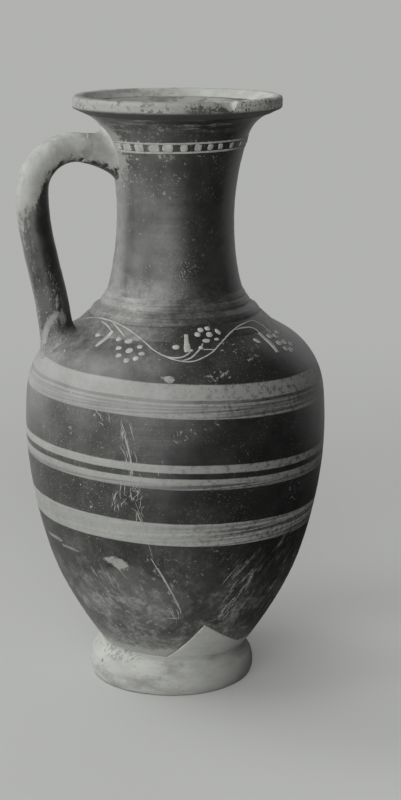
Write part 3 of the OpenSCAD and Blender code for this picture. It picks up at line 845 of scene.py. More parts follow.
def neck_slip_finish():
    """Slip of the neck: hazed with painted sheen on its left, flaked under the mouth, rubbed into rings above the
    shoulder.
    """
    f = Finish("neck_slip")
    slip, rough, relief = slip_base(f)
    left = f.step(f.right, 14.0, -20.0)
    hair = f.noise(1.0, 3.0, 0.65, 41.0, (11.0, 11.0, 1000.0))
    fields = f.noise(44.0, 4.0, 0.6, 42.0)
    cloud = f.noise(110.0, 6.0, 0.7, 45.0)
    grit = f.noise(520.0, 4.0, 0.7, 46.0)
    base = f.step(f.height, 226.0, 198.0)
    upper = f.between(f.height, 250.0, 291.0, 9.0)
    drips = f.noise(1.0, 4.0, 0.6, 49.0, (170.0, 170.0, 22.0))
    # a dull veil over the slip, paler towards the viewer's left and most at the neck's base there, a painted sheen
    veil = f.both(f.either(f.both(base, f.shade(left, 0.04, 0.3)), f.shade(left, 0.03, 0.11)),
                  f.shade(f.step(cloud, 0.32, 0.68), 0.55, 1.35), f.shade(f.step(drips, 0.35, 0.7), 0.8, 1.25))
    slip = f.blend(veil, slip, CLAY)
    crumbs = f.both(f.either(f.flakes(420.0, 0.24, 0.32, 43.0), f.flakes(1000.0, 0.34, 0.36, 44.0)),
                    f.step(fields, f.shade(upper, 0.44, 0.3), f.shade(upper, 0.58, 0.46)), f.shade(upper, 0.5, 1.0),
                    f.shade(left, 0.45, 1.0))
    frayed = f.both(f.step(cloud, 0.54, 0.62), f.step(grit, 0.45, 0.6), f.between(f.height, 262.0, 288.0, 6.0),
                    f.step(f.right, 22.0, -12.0), 0.8)
    broken_up = f.both(f.step(cloud, 0.4, 0.58), f.shade(f.step(grit, 0.42, 0.58), 0.25, 1.0))
    low_rings = f.both(f.shade(f.step(hair, 0.45, 0.6), 0.45, 1.0), f.step(f.height, 217.0, 203.0), broken_up,
                       f.shade(f.step(f.right, 2.0, -18.0), 0.16, 0.75))
    collar_wear = f.both(f.shade(f.step(hair, 0.47, 0.6), 0.3, 1.0), f.between(f.height, 193.5, 200.0, 1.2),
                         f.shade(broken_up, 0.3, 1.0), f.shade(left, 0.3, 0.55))
    pores = f.both(f.step(f.noise(1300.0, 3.0, 0.7, 48.0), 0.55, 0.62),
                   f.patch(-6.0, 213.0, 13.0, 12.0, cloud, 1.4), 0.6)
    rim_streaks = f.both(f.step(f.noise(1.0, 4.0, 0.65, 47.0, (60.0, 60.0, 520.0)), 0.5, 0.62),
                         f.between(f.height, 283.5, 293.0, 2.5), f.step(grit, 0.3, 0.6), 0.55)
    dust = f.step(f.math("MULTIPLY_ADD", f.height, -0.75, f.radius), -177.2, -178.6)
    dust = f.both(dust, f.step(f.height, 281.0, 287.0), f.shade(f.step(cloud, 0.56, 0.46), 0.45, 1.0))
    tattered = f.math("MULTIPLY_ADD", grit, 0.5, f.both(cloud, 0.5))
    smear = f.both(f.either(f.patch(-77.0, 273.0, 16.0, 18.0, tattered, 2.6),
                            f.both(f.patch(-61.0, 268.0, 8.0, 9.0, tattered, 3.0), f.step(grit, 0.36, 0.56))),
                   f.shade(f.step(grit, 0.3, 0.5), 0.6, 1.0))
    # the neck's left rim made paler: rubbing and a painted highlight along that edge
    edge = f.both(f.step(f.right, -23.0, -29.5), f.step(cloud, 0.3, 0.6), f.step(f.height, 283.0, 272.0), 0.5)
    worn = f.either(f.both(crumbs, 0.8), frayed, low_rings, collar_wear, rim_streaks, f.both(smear, 0.8), edge,
                    pores, f.both(dust, 0.9))
    return wear_down(f, slip, rough, relief, worn, f.shade(cloud, 0.62, 0.95))


def worn_rim_finish():
    """The lip: clay with most of its slip rubbed off, darker and speckled to the viewer's right; its clay gets
    painted light inside the mouth and on the face to the right, and painted shade on its left.
    """
    f = Finish("worn_rim")
    slip, _, relief = slip_base(f)
    grain = f.noise(300.0, 6.0, 0.72, 51.0)
    streak = f.noise(70.0, 5.0, 0.65, 52.0, (1.0, 1.0, 2.0))
    facing = f.step(f.front, -8.0, 6.0)
    right = f.step(f.math("MULTIPLY_ADD", streak, 16.0, f.right), 11.0, 19.0)
    beyond = f.step(f.right, 25.0, 32.0)
    lower = f.both(f.step(f.math("MULTIPLY_ADD", grain, 2.8, f.height), 298.9, 296.0), f.less(f.both(beyond, 0.95)))
    # the lip's underside kept dark: slip left there, and painted shade under the lip
    under = f.step(f.math("MULTIPLY_ADD", grain, 1.6, f.height), 294.9, 293.4)
    speck = f.math("MULTIPLY_ADD", f.noise(800.0, 4.0, 0.7, 53.0), 0.6, f.both(grain, 0.4))
    kept = f.both(right, facing, f.step(speck, f.shade(lower, 0.475, 0.54), f.shade(lower, 0.435, 0.5)), 0.95)
    edge = f.both(f.step(f.right, 30.0, 44.0), facing, lower, f.step(speck, 0.54, 0.5))
    specks = f.both(facing, f.step(f.math("MULTIPLY_ADD", streak, 0.4, grain), 0.72, 0.79), 0.7)
    kept = f.either(kept, edge, f.both(under, 0.95), specks)
    smear = f.both(f.step(streak, 0.48, 0.64), 0.3)
    back = f.both(f.less(facing), f.step(streak, 0.44, 0.56), f.step(f.right, 26.0, -14.0),
                  f.step(grain, 0.38, 0.58), 0.55)
    broken = f.attribute("broken")
    # clay tone: streaks, grain and paler broken faces; painted shade darkens the viewer's left, painted light lifts
    # the inside of the mouth and the face to the right
    grey = f.both(f.shade(f.step(streak, 0.3, 0.7), 0.62, 0.8), f.shade(grain, 0.82, 1.1),
                  f.shade(f.step(f.right, -16.0, -50.0), 1.02, 0.82), f.shade(facing, 1.5, 1.0),
                  f.shade(f.both(facing, beyond, f.less(broken)), 1.0, 1.9), f.shade(broken, 1.0, 1.2))
    dark = f.both(f.either(kept, smear, back), f.less(f.both(broken, 0.85)))
    colour = f.blend(dark, f.tone(CLAY, grey), f.blend(0.1, slip, CLAY))
    return f.close(colour, f.shade(grain, 0.5, 0.72), f.math("ADD", grain, relief), 0.12, 0.4)


def worn_handle_finish():
    """The handle: slip rubbed off over its crown, kept on its inside and, with flakes, down its leg."""
    f = Finish("worn_slip")
    slip, rough, relief = slip_base(f)
    outer = f.attribute("outer")
    grain = f.noise(230.0, 6.0, 0.74, 61.0)
    grit = f.noise(620.0, 4.0, 0.7, 65.0)
    trail = f.noise(330.0, 5.0, 0.7, 66.0, (1.0, 1.0, 0.22))
    streak = f.noise(60.0, 5.0, 0.65, 62.0, (1.0, 1.0, 0.35))
    crown = f.step(f.height, 230.0, 264.0)
    ragged = f.math("MULTIPLY_ADD", f.math("SUBTRACT", f.math("ADD", grain, trail), 1.0), 1.9, outer)
    line = f.math("SUBTRACT", ragged, f.shade(crown, 1.3, -0.52))
    worn = f.both(f.step(line, -0.16, 0.12), f.shade(f.step(line, -0.1, 0.6), 0.74, 1.0))
    stain = f.both(f.step(f.math("MULTIPLY_ADD", grain, 0.4, streak), 0.72, 0.84), 0.3)
    soot = f.either(f.near(Vector((-41.5, -4.0, 281.0)) * MM, 0.5, 7.0, grain, 5.0),
                    f.near(Vector((-45.0, -8.0, 271.0)) * MM, 0.5, 5.0, grain, 6.0))
    worn = f.both(worn, f.less(f.either(f.both(soot, 0.18), stain)))
    veil = f.both(f.shade(f.step(streak, 0.35, 0.65), 0.03, 0.13), f.step(outer, -0.1, 0.9),
                  f.shade(grit, 0.5, 1.5))
    slip = f.blend(veil, slip, CLAY)
    crumbs = f.both(f.noise(1100.0, 4.0, 0.7, 68.0, (1.0, 1.0, 0.5)), 0.55)
    crumbs = f.step(f.math("MULTIPLY_ADD", trail, 0.45, crumbs), 0.53, 0.57)
    rubbed = f.both(f.step(f.math("MULTIPLY_ADD", outer, 0.12, streak), 0.42, 0.58), f.step(outer, -0.3, 0.3),
                    crumbs, 0.95)
    flecks = f.both(f.flakes(900.0, 0.16, 0.32, 64.0), f.step(outer, -0.55, 0.2), f.step(streak, 0.42, 0.56))
    leaf = f.either(f.near_line(Vector((-62.0, -7.0, 193.5)) * MM, Vector((-69.5, -4.5, 177.0)) * MM,
                                1.3, 2.6, grain, 1.6),
                    f.both(f.near_line(Vector((-58.5, -8.5, 192.0)) * MM, Vector((-56.0, -11.0, 186.0)) * MM,
                                       1.4, 3.2, grain, 2.4), 0.6))
    root = f.both(f.step(f.math("MULTIPLY_ADD", grain, 12.0, f.height), 194.0, 187.0),
                  f.step(f.front, -2.0, 4.0), f.shade(f.step(grit, 0.42, 0.56), 0.4, 1.0), 0.5)
    joint = f.both(f.step(f.math("MULTIPLY_ADD", grain, -14.0, f.radius), 38.0, 31.0),
                   f.step(f.height, 240.0, 250.0), f.shade(f.step(grain, 0.36, 0.5), 0.6, 1.0),
                   f.step(f.math("MULTIPLY_ADD", grain, 0.8, outer), 0.0, 0.3), 0.92)
    worn = f.either(worn, rubbed, f.both(flecks, 0.7), f.both(leaf, 0.9), root, joint)
    # clay tone: random clouds, grit and trails, with painted light and shade: the crown's top lighter, its outer fall
    # darker, its inside lighter
    clay = f.both(f.shade(f.step(f.noise(75.0, 4.0, 0.6, 67.0), 0.34, 0.62), 0.62, 0.9), f.shade(grit, 0.92, 1.06),
                  f.shade(f.step(trail, 0.4, 0.6), 1.04, 0.93), f.shade(f.step(f.height, 284.0, 270.0), 1.14, 0.85),
                  f.shade(f.step(outer, 0.4, -0.5), 1.0, 1.45))
    return wear_down(f, slip, rough, f.math("ADD", relief, grain), worn, clay)


def studio_finish():
    """Plain pale paper: lit and shadowed round the jar, with painted light that softens the jar's shadow to the
    viewer's right, an even tone farther off, mirrored dim to the right.
    """
    f = Finish("studio_paper")
    fine = f.noise(40.0, 3.0, 0.5, 71.0)
    seen = put(f.tree, "ShaderNodeLightPath").outputs
    dim = f.both(seen["Is Glossy Ray"], f.step(f.right, -20.0, 150.0), 0.9)
    far = f.step(f.radius, 320.0, 900.0)
    dim = f.either(dim, f.both(far, seen["Is Camera Ray"]))
    paper = put(f.tree, "ShaderNodeBsdfDiffuse", {
        "Color": f.tone(PAPER, f.both(f.shade(fine, 0.995, 1.005), f.less(dim)))}).outputs[0]
    # painted light: the paper's even tone grows towards the viewer's right, evening out the lamps' fall-off and
    # lifting the jar's shadow there
    lift = f.shade(f.step(f.right, -60.0, 160.0), 1.0, 1.9)
    upright = f.math("MULTIPLY_ADD", f.step(f.front, -250.0, -1000.0), f.math("SUBTRACT", 2.8, lift), lift)
    upright = f.math("MULTIPLY_ADD", far, f.math("SUBTRACT", 4.89, upright), upright)
    # painted light: more glow on the paper beside the foot to the viewer's right, which lightens the jar's shadow
    # there
    upright = f.math("ADD", upright, f.both(f.between(f.front, -70.0, 60.0, 45.0), f.step(f.right, 20.0, 110.0), 0.9))
    behind = f.both(f.either(seen["Is Glossy Ray"], seen["Is Transmission Ray"]), f.step(f.front, -150.0, -450.0))
    even = put(f.tree, "ShaderNodeEmission", {"Color": (*PAPER_TONE, 1.0), "Strength": f.both(
        f.either(seen["Is Camera Ray"], behind), upright)}).outputs[0]
    both = put(f.tree, "ShaderNodeAddShader", {0: paper, 1: even}).outputs[0]
    put(f.tree, "ShaderNodeOutputMaterial", {0: both})
    return f.material


finish = {"pale_clay": pale_clay_finish(), "plaster": plaster_finish(), "pale_paint": painted_slip_finish(),
          "black_slip": black_slip_finish(), "neck_slip": neck_slip_finish(),
          "worn_rim": worn_rim_finish(), "worn_slip": worn_handle_finish()}

# ---------------------------------------------------------------- turned pieces

# Each kind of shape has one tree; outlines are cut at a bearing where nothing joins the vessel
TURNED = turned_clay_tree()
STROKES = painted_stroke_tree()
DROPS = slip_drop_tree()
ROD = pulled_rod_tree()
BACK_BEARING = 77.0

outlines = {node: turned_outline(node, BACK_BEARING) for node in ("foot", "body", "neck", "collar", "lip")}


def fuller(outline, middle, spread, amount):
    """An outline that bulges a little more about one height; sizes in mm."""
    points, closed = outline
    return [(r + amount * MM * math.exp(-((z / MM - middle) / spread) ** 2) * min(r / (BODY_FULL_R * MM), 1.0), z)
            for r, z in points], closed


outlines["body"] = fuller(outlines["body"], BODY_FULL_Z, BODY_FULL_H, BODY_FULL)


def shoulder_height(radius):
    """Height of the shoulder at a radius, in mm."""
    low, high = SHOULDER_LOW, SHOULDER_HIGH
    for _ in range(30):
        middle = (low + high) / 2.0
        low, high = (middle, high) if outer_radius(outlines["body"], middle) > radius else (low, middle)
    return low


def sloped_collar(edge, tail):
    """The collar as smoothed on: two grooves under the neck, a low ledge and a sweep onto the shoulder (mm)."""
    at = [outer_radius(outlines["neck"], z) for z in (202.5, 200.4, 199.7, 199.0, 197.0)]
    line = [(at[0] - 0.6, 203.6), (at[0] + 0.1, 202.5), (at[1] + 0.55, 200.5), (at[2] + 0.1, 199.8),
            (at[3] + 0.65, 199.1), (at[4] + 1.0, 196.9), (at[4] + 0.6, 196.3), (at[4] + 1.8, 195.7),
            (edge - 1.0, 194.1), (edge + 0.1, 192.7), (edge + 0.6, COLLAR_SWEEP)]
    low = shoulder_height(tail)
    for i in range(1, 9):
        r = edge + 1.0 + (tail - edge - 1.0) * i / 8.0
        share = (r - edge - 1.0) / (tail - edge - 1.0)
        height = max(COLLAR_SWEEP + (low - COLLAR_SWEEP) * share, shoulder_height(r) + 0.05)
        sunk = 0.5 if r > tail - 0.5 else 0.12 if r > tail - 1.4 else 0.0
        line.append((r, height - sunk))
    line += [(tail - 0.5, low - 1.6), (edge - 2.0, 184.5), (36.0, 188.0), (34.5, 196.0)]
    return [(r * MM, z * MM) for r, z in line], True


outlines["collar"] = sloped_collar(COLLAR_EDGE, COLLAR_TAIL)


def outline_length(outline):
    """Length of an outline, in metres."""
    points, closed = outline
    ends = points[1:] + (points[:1] if closed else [])
    return sum(math.dist(a, b) for a, b in zip(points, ends))


def outwards(piece):
    """Turns a closed mesh's faces outwards."""
    bm = bmesh.new()
    bm.from_mesh(piece.data)
    bmesh.ops.recalc_face_normals(bm, faces=bm.faces[:])
    if bm.calc_volume(signed=True) < 0.0:
        bmesh.ops.reverse_faces(bm, faces=bm.faces[:])
    bm.to_mesh(piece.data)
    bm.free()


def turned_piece(name, outline, material, around_count, step, ring_depth, ring_pitch, unevenness, swell, seed,
                 chips=()):
    """A thrown piece on an outline; sizes in mm."""
    points, closed = outline
    helper = line_object(name + "_outline", [[Vector((r, 0.0, z)) for r, z in points]], closed)
    values = {"Outline": helper, "Around": around_count + 1,
              "Along": int(outline_length(outline) / (step * MM)) + 1,
              "Ring depth": ring_depth * MM, "Ring pitch": ring_pitch * MM,
              "Unevenness": unevenness * MM, "Swell": swell * MM, "Seed": seed,
              "Material": finish[material]}
    for i, (place, radius) in enumerate(chips):
        values[f"Chip {i} place"] = place
        values[f"Chip {i} radius"] = radius * MM
    piece = grow(name, TURNED, values)
    bpy.data.objects.remove(helper)
    outwards(piece)
    return piece


def fill_block(name, grow_by):
    """A straight-sided block over the edge of the break, larger all round than it by some mm."""
    out, side = axes_of(FILL_TURN)
    bm = bmesh.new()
    count = len(FILL_EDGE)
    middle = Vector((sum(p[0] for p in FILL_EDGE), sum(p[1] for p in FILL_EDGE))) / count
    layers = []
    for reach in (FILL_NEAR, FILL_FAR):
        layer = []
        for s, z in FILL_EDGE:
            away = (Vector((s, z)) - middle).normalized() * grow_by
            layer.append(bm.verts.new((out * reach + side * (s + away.x) + Vector((0, 0, z + away.y))) * MM))
        layers.append(layer)
    for i in range(count):
        j = (i + 1) % count
        bm.faces.new((layers[0][i], layers[0][j], layers[1][j], layers[1][i]))
    bm.faces.new(layers[0][::-1])
    bm.faces.new(layers[1])
    bmesh.ops.recalc_face_normals(bm, faces=bm.faces[:])
    return mesh_object(name, bm)


def carve(piece, block, operation):
    """Cuts a piece by a block, or keeps what lies in it, removes the block and splits many-sided faces."""
    cut = piece.modifiers.new("cut", "BOOLEAN")
    cut.operation = operation
    cut.object = block
    cut.solver = "EXACT"
    result = applied(piece, cut)
    bpy.data.objects.remove(block)
    bm = bmesh.new()
    bm.from_mesh(result)
    many_sided = [face for face in bm.faces if len(face.verts) > 4]
    bmesh.ops.triangulate(bm, faces=many_sided, ngon_method="BEAUTY")
    bm.to_mesh(result)
    bm.free()


def filled_foot(outline):
    """The foot's outline with the groove under the body filled by a hollow sweep of clay."""
    points, closed = outline
    top = max(range(len(points)), key=lambda i: (round(points[i][1], 6), points[i][0]))
    start = Vector((outer_radius(outline, GROOVE_LOW), GROOVE_LOW))
    end = Vector((outer_radius(outlines["body"], GROOVE_HIGH) + 0.05, GROOVE_HIGH))
    hollow = Vector((outer_radius(outlines["body"], GROOVE_HOLLOW) + 0.9, GROOVE_HOLLOW))
    sweep = [start.lerp(hollow, t / 8).lerp(hollow.lerp(end, t / 8), t / 8) for t in range(9)]
    under = GROOVE_HIGH - 1.5
    sweep.append(Vector((outer_radius(outlines["body"], under) - 1.2, under)))
    sweep = [(p.x * MM, p.y * MM) for p in sweep]
    outside = points[top][0] - 0.5 * MM
    kept = [p for p in points if not (p[1] > GROOVE_LOW * MM and p[0] > outside)]
    near = min(range(len(kept)), key=lambda i: math.dist(kept[i], sweep[0]))
    after = kept[(near + 1) % len(kept)]
    if math.dist(after, sweep[-1]) > math.dist(kept[near - 1], sweep[-1]):
        sweep.reverse()
        near -= 1
    return kept[:near + 1] + sweep + kept[near + 1:], closed


def chip_lip(piece):
    """Breaks a slanting chip out of the lip's outer edge and marks the broken face."""
    top = cad_box[1][2] / MM
    reach = outer_radius(outlines["lip"], top - 3.0)
    layer = piece.data.attributes.new("broken", "FLOAT", "POINT")
    marks = [0.0] * len(piece.data.vertices)
    for i, vertex in enumerate(piece.data.vertices):
        place = vertex.co / MM
        turn = math.degrees(math.atan2(place.dot(VIEW_RIGHT), -place.dot(VIEW_AWAY)))
        turn += CHIP_WANDER * noise.noise(vertex.co * LUMPS)
        if CHIP_FROM < turn < CHIP_TO:
            share = min((turn - CHIP_FROM) / (CHIP_DEEP[0] - CHIP_FROM),
                        (CHIP_TO - turn) / (CHIP_TO - CHIP_DEEP[1]), 1.0)
            out = (math.hypot(place.x, place.y) - CHIP_INNER) / (reach - CHIP_INNER)
            out = min(max(out, 0.0), 1.0)
            level = top - CHIP_DEPTH * share * out ** 0.7 + CHIP_ROUGH * noise.noise(vertex.co * BREAK_GRAIN)
            if place.z > level:
                vertex.co.z = level * MM
                marks[i] = 1.0
    layer.data.foreach_set("value", marks)


# Thrown pieces: outline, finish, points round, step along, depth and pitch of rings, unevenness, swell (mm), seed
# and chips (place, radius in mm)
foot = turned_piece("turned_foot", filled_foot(outlines["foot"]), "pale_clay", 280, 0.8, 0.25, 3.0, 0.35, 0.9, 1.0,
                    [(around(-16.0, 44.0, -1.2), 3.4), (around(-49.0, 43.0, 17.5), 2.0)])
body = turned_piece("slipped_body", outlines["body"], "black_slip", 236, 1.6, 0.22, 5.0, 0.12, 0.8, 2.0)
carve(body, fill_block("break", 0.0), "DIFFERENCE")
repair_fill = turned_piece("plaster_fill", outlines["body"], "plaster", 236, 1.6, 0.05, 5.0, 0.15, 0.8, 2.0)
carve(repair_fill, fill_block("fill_block", -FILL_GAP), "INTERSECT")
neck = turned_piece("slipped_neck", outlines["neck"], "neck_slip", 220, 1.0, 0.25, 3.5, 0.12, 0.5, 3.0)
collar = turned_piece("turned_collar", outlines["collar"], "black_slip", 240, 0.4, 0.3, 1.5, 0.3, 0.3, 4.0,
                      [(around(-83.0, 44.5, 192.5), 2.4)])
lip = turned_piece("worn_lip", outlines["lip"], "worn_rim", 420, 0.5, 0.3, 2.2, 0.5, 0.6, 5.0)
chip_lip(lip)

# ---------------------------------------------------------------- handle

# Middle of the handle's opening, from which its outer side is told
GRIP = Vector((-46.0, 0.0, 236.0)) * MM

# Pads: columns round the rod, share of its radius at which they start, shares of the way to the wall where the
# upper and the lower one bend, how far they end inside the wall and their unevenness (mm)
PAD_COLUMNS = 72
PAD_IN = 0.985
UPPER_BEND = 0.86
LOWER_BEND = 0.8
PAD_SUNK = 0.35
PAD_UNEVEN = 0.35


def handle_route():
    """The rod's middle line in the XZ plane, with its half-thickness, from the neck down to the shoulder."""
    crown = Vector((ROD_REACH - CROWN_R, CROWN_TOP))
    points = []
    for i in range(4):
        a = math.radians(90.0 + RISE_TURN * (1.0 - i / 3.0))
        points.append((crown.x + RISE_R * math.cos(a), crown.y - RISE_R + RISE_R * math.sin(a), CROWN_D / 2.0))
    for turn in range(80, -1, -10):
        a = math.radians(turn)
        half = (CROWN_D + (ROD_D - CROWN_D) * (90 - turn) / 90.0) / 2.0
        points.append((crown.x + CROWN_R * math.cos(a), crown.y - CROWN_R + CROWN_R * math.sin(a), half))
    top = crown.y - CROWN_R
    last = 1.0 - ROOT_TIP / (top - ROOT_Z)
    for i in range(1, 15):
        t = last * i / 14.0
        sway = (1.0 - math.cos(math.pi * t)) / 2.0
        points.append((ROD_REACH - (ROD_REACH - ROOT_X) * sway, top + (ROOT_Z - top) * t, ROD_D / 2.0))
    return [(Vector((-x, 0.0, z)) * MM, half * MM) for x, z, half in points]


route = handle_route()
route_line = line_object("handle_route", [route])
handle = grow("pulled_handle", ROD, {"Route": route_line, "Step": 1.0 * MM, "Flatness": 0.3 * MM,
                                     "Unevenness": 0.8 * MM, "Middle": GRIP, "Seed": 6.0,
                                     "Material": finish["worn_slip"]})
bpy.data.objects.remove(route_line)
outwards(handle)


def root_pad(name, columns, rows=18):
    """A smoothed-on root: each column is (place on the rod, bend, place on the vessel), swept as one skin."""
    bm = bmesh.new()
    rings = []
    for k in range(rows + 1):
        t = k / rows
        rings.append([bm.verts.new(a.lerp(b, t).lerp(b.lerp(c, t), t)) for a, b, c in columns])
    count = len(columns)
    for k in range(rows):
        for i in range(count):
            j = (i + 1) % count
            bm.faces.new((rings[k][i], rings[k][j], rings[k + 1][j], rings[k + 1][i]))
    bm.faces.new(rings[0][::-1])
    bm.faces.new(rings[rows])
    bmesh.ops.recalc_face_normals(bm, faces=bm.faces[:])
    bm.normal_update()
    outer = [vertex.normal.dot((vertex.co - GRIP).normalized()) for vertex in bm.verts]
    for vertex in bm.verts:
        vertex.co += vertex.normal * (PAD_UNEVEN * MM * noise.noise(vertex.co * PAD_GRAIN))
    piece = mesh_object(name, bm, finish["worn_slip"])
    piece.data.attributes.new("outer", "FLOAT", "POINT").data.foreach_set("value", outer)
    outwards(piece)
    return piece


def rod_end(last, before, back):
    """The rod's heading at one end, and places round it with their angles, set back from the end (mm)."""
    end, half = last
    heading = (end - before[0]).normalized()
    up = Vector((-heading.z, 0.0, heading.x))
    ring = []
    for i in range(PAD_COLUMNS):
        a = 2.0 * math.pi * i / PAD_COLUMNS
        out = Vector((0.0, 1.0, 0.0)) * math.cos(a) + up * math.sin(a)
        ring.append((a, end - heading * back * MM + out * half * PAD_IN))
    return heading, ring


def upper_columns(low, high, side, back):
    """Columns from the rod's end to an oval on the neck, between two heights and as wide as side (mm)."""
    heading, ring = rod_end(route[0], route[1], back)
    columns = []
    for a, on_rod in ring:
        wall = outer_radius(outlines["neck"], on_rod.z / MM) * MM
        run = (-math.sqrt(max(wall ** 2 - on_rod.y ** 2, 0.0)) - on_rod.x) / heading.x
        height = (low + high) / 2.0 + (high - low) / 2.0 * math.sin(a)
        radius = outer_radius(outlines["neck"], height) - PAD_SUNK
        bearing = math.pi - side * math.cos(a) / radius
        on_wall = Vector((radius * math.cos(bearing), radius * math.sin(bearing), height)) * MM
        columns.append((on_rod, on_rod + heading * max(run, 0.0) * UPPER_BEND, on_wall))
    return columns


def lower_columns(inner, outer, side, back):
    """Columns from the rod's end to an oval on the shoulder, between two radii and as wide as side (mm)."""
    heading, ring = rod_end(route[-1], route[-2], back)
    columns = []
    for a, on_rod in ring:
        run = (shoulder_height(on_rod.xy.length / MM) * MM - on_rod.z) / heading.z
        x = -(inner + outer) / 2.0 + (outer - inner) / 2.0 * math.sin(a)
        y = side * math.cos(a)
        on_wall = Vector((x, y, shoulder_height(math.hypot(x, y)) - PAD_SUNK)) * MM
        columns.append((on_rod, on_rod + heading * run * LOWER_BEND, on_wall))
    return columns


handle_upper_pad = root_pad("handle_root_upper", upper_columns(low=256.0, high=284.5, side=11.5, back=2.5))
handle_lower_pad = root_pad("handle_root_lower", lower_columns(inner=50.5, outer=70.4, side=11.0, back=3.0))

# ---------------------------------------------------------------- painted ornament

def on_body(turn, height):
    """A place on the body, or on the collar's sweep above it."""
    return around(turn, max(outer_radius(outlines[node], height) for node in ("body", "collar")), height)


def on_neck(turn, height):
    """A place on the neck."""
    return around(turn, outer_radius(outlines["neck"], height), height)


def stroke(points, half_width, place=on_body, ends=0.6):
    """A brush stroke: points (turn, height) with a half-width in mm, thinner at its ends."""
    last = len(points) - 1
    return [(place(turn, height), half_width * MM * (ends if i in (0, last) else 1.0))
            for i, (turn, height) in enumerate(points)]


# One length of vine: strokes (half-width, points as turn and height), bars, and berries or single dots
# (turn, height, half-breadth, half-length, spin); it is painted again round the back
VINE = [
    (0.37, [(-84, 186), (-77, 188.6), (-62, 191), (-52, 191.5), (-42, 191), (-33, 190), (-26, 188.4),
           (-16, 184.8), (-10, 182.2), (-4, 180), (2, 178.4), (8, 177.9), (13, 179), (19, 181),
           (25, 183.6), (34, 187), (43, 189.2), (51, 190), (60, 190), (65.5, 187.2), (66, 184)]),
    (0.45, [(40, 188.2), (46, 188.4), (53, 187.8), (56, 186.3), (57, 184.8)]),
    (0.45, [(-54, 190.4), (-46, 189.4), (-40, 187.6)]),
    (0.45, [(-44, 191), (-35, 188.6), (-28.5, 186)]),
    (0.45, [(-6, 180.6), (-1.6, 179.6), (3, 179.5), (6, 180.3), (8.6, 181.6)]),
    (0.45, [(4, 178.3), (8, 179.3), (11.3, 181.2), (14, 182.8), (15.7, 184.2)]),
    (0.45, [(15, 182.1), (20.7, 181.8)]),
]
BARS = [
    (1.25, [(-39, 187.6), (-40.5, 184.5), (-42, 181.3)]),
    (1.15, [(7.3, 187.9), (7, 184.8), (6.7, 181.6)]),
    (1.65, [(7.1, 184.4), (6.9, 182.8), (6.8, 181.4)]),
    (1.5, [(56, 185), (55, 181), (53.7, 177.2)]),
]
BERRIES = [
    (-48, 185.3, 1.75, 1.5, 15), (-32, 185, 1.6, 1.5, 0), (-25.4, 184.8, 2.1, 2.0, 0),
    (-28.4, 182, 1.6, 1.5, 0), (-22, 181.4, 2.0, 1.8, 0), (-17.5, 183, 1.5, 1.3, 0),
    (-26, 179.3, 1.6, 1.5, 0), (-15.2, 180.6, 1.6, 1.4, 0), (-21.2, 177.8, 1.6, 1.5, 0),
    (-17.2, 178.7, 1.6, 1.4, 0), (1.2, 183.3, 1.8, 1.7, 0), (8.8, 182, 1.0, 0.9, 0),
    (14, 182.8, 1.3, 1.2, 0), (16.6, 189.5, 1.6, 1.4, 0), (21.2, 190, 1.5, 1.3, 0),
    (14, 187.8, 1.5, 1.4, 0), (21, 187.5, 1.7, 1.5, 0), (18.2, 185.4, 2.0, 1.8, 0),
    (27, 188.3, 1.1, 1.9, 25), (24.6, 185.8, 1.5, 1.4, 0), (48.2, 182.8, 1.4, 2.1, 30),
    (61, 183, 2.4, 1.8, 0), (66, 182.4, 2.3, 1.8, 0), (72, 183, 2.3, 1.6, 0), (66.3, 179.6, 2.4, 1.8, 0),
    (70, 178, 2.3, 1.7, 0), (61.3, 180, 2.4, 1.8, 0), (61.6, 177.6, 2.1, 1.5, 0), (65, 176.4, 2.3, 1.6, 0),
]

# Turns by which the vine is painted, and where its second length ends
REPEATS = (0.0, 158.0)
VINE_END = 262.0

# Step along a stroke (mm)
STROKE_STEP = 0.6


def painted(name, runs, carrier, height, raggedness, seed):
    """A piece of raised strokes on a carrier; height in mm, raggedness as a share of the width."""
    helper = line_object(name + "_runs", runs)
    piece = grow(name, STROKES, {"Strokes": helper, "Carrier": carrier, "Height": height * MM,
                                 "Step": STROKE_STEP * MM, "Raggedness": raggedness, "Seed": seed,
                                 "Material": finish["pale_paint"]})
    bpy.data.objects.remove(helper)
    outwards(piece)
    return piece


def dropped(name, drops, place, carrier, height, raggedness, squareness, seed):
    """A piece of raised drops on a carrier; height and raggedness in mm."""
    mesh = bpy.data.meshes.new(name + "_points")
    mesh.from_pydata([place(turn, z) for turn, z, _, _, _ in drops], [], [])
    for label, scale, column in (("breadth", MM, 2), ("length", MM, 3), ("spin", math.pi / 180.0, 4)):
        layer = mesh.attributes.new(label, "FLOAT", "POINT")
        layer.data.foreach_set("value", [row[column] * scale for row in drops])
    piece = grow(name, DROPS, {"Carrier": carrier, "Height": height * MM, "Raggedness": raggedness * MM,
                               "Squareness": squareness, "Seed": seed, "Material": finish["pale_paint"]}, mesh)
    outwards(piece)
    return piece


def shoulder_skin():
    """A helper object with the outer skin of the body up to the collar's sweep, and of the collar from there."""
    bm = bmesh.new()
    bm.from_mesh(body.data)
    hidden = [face for face in bm.faces if face.calc_center_median().xy.length < (COLLAR_TAIL - 1.5) * MM]
    bmesh.ops.delete(bm, geom=hidden, context="FACES")
    above = bmesh.new()
    above.from_mesh(collar.data)
    hidden = [face for face in above.faces
              if face.normal.z < 0.05 or face.calc_center_median().xy.length > (COLLAR_TAIL - 1.4) * MM]
    bmesh.ops.delete(above, geom=hidden, context="FACES")
    half = bpy.data.meshes.new("collar_skin")
    above.to_mesh(half)
    above.free()
    bm.from_mesh(half)
    bpy.data.meshes.remove(half)
    return mesh_object("shoulder_skin", bm)


def repeated(strokes, ends):
    """Strokes of one length of vine, and of the one round the back."""
    return [stroke([(t + shift, z) for t, z in points], half, ends=ends)
            for shift in REPEATS for half, points in strokes]


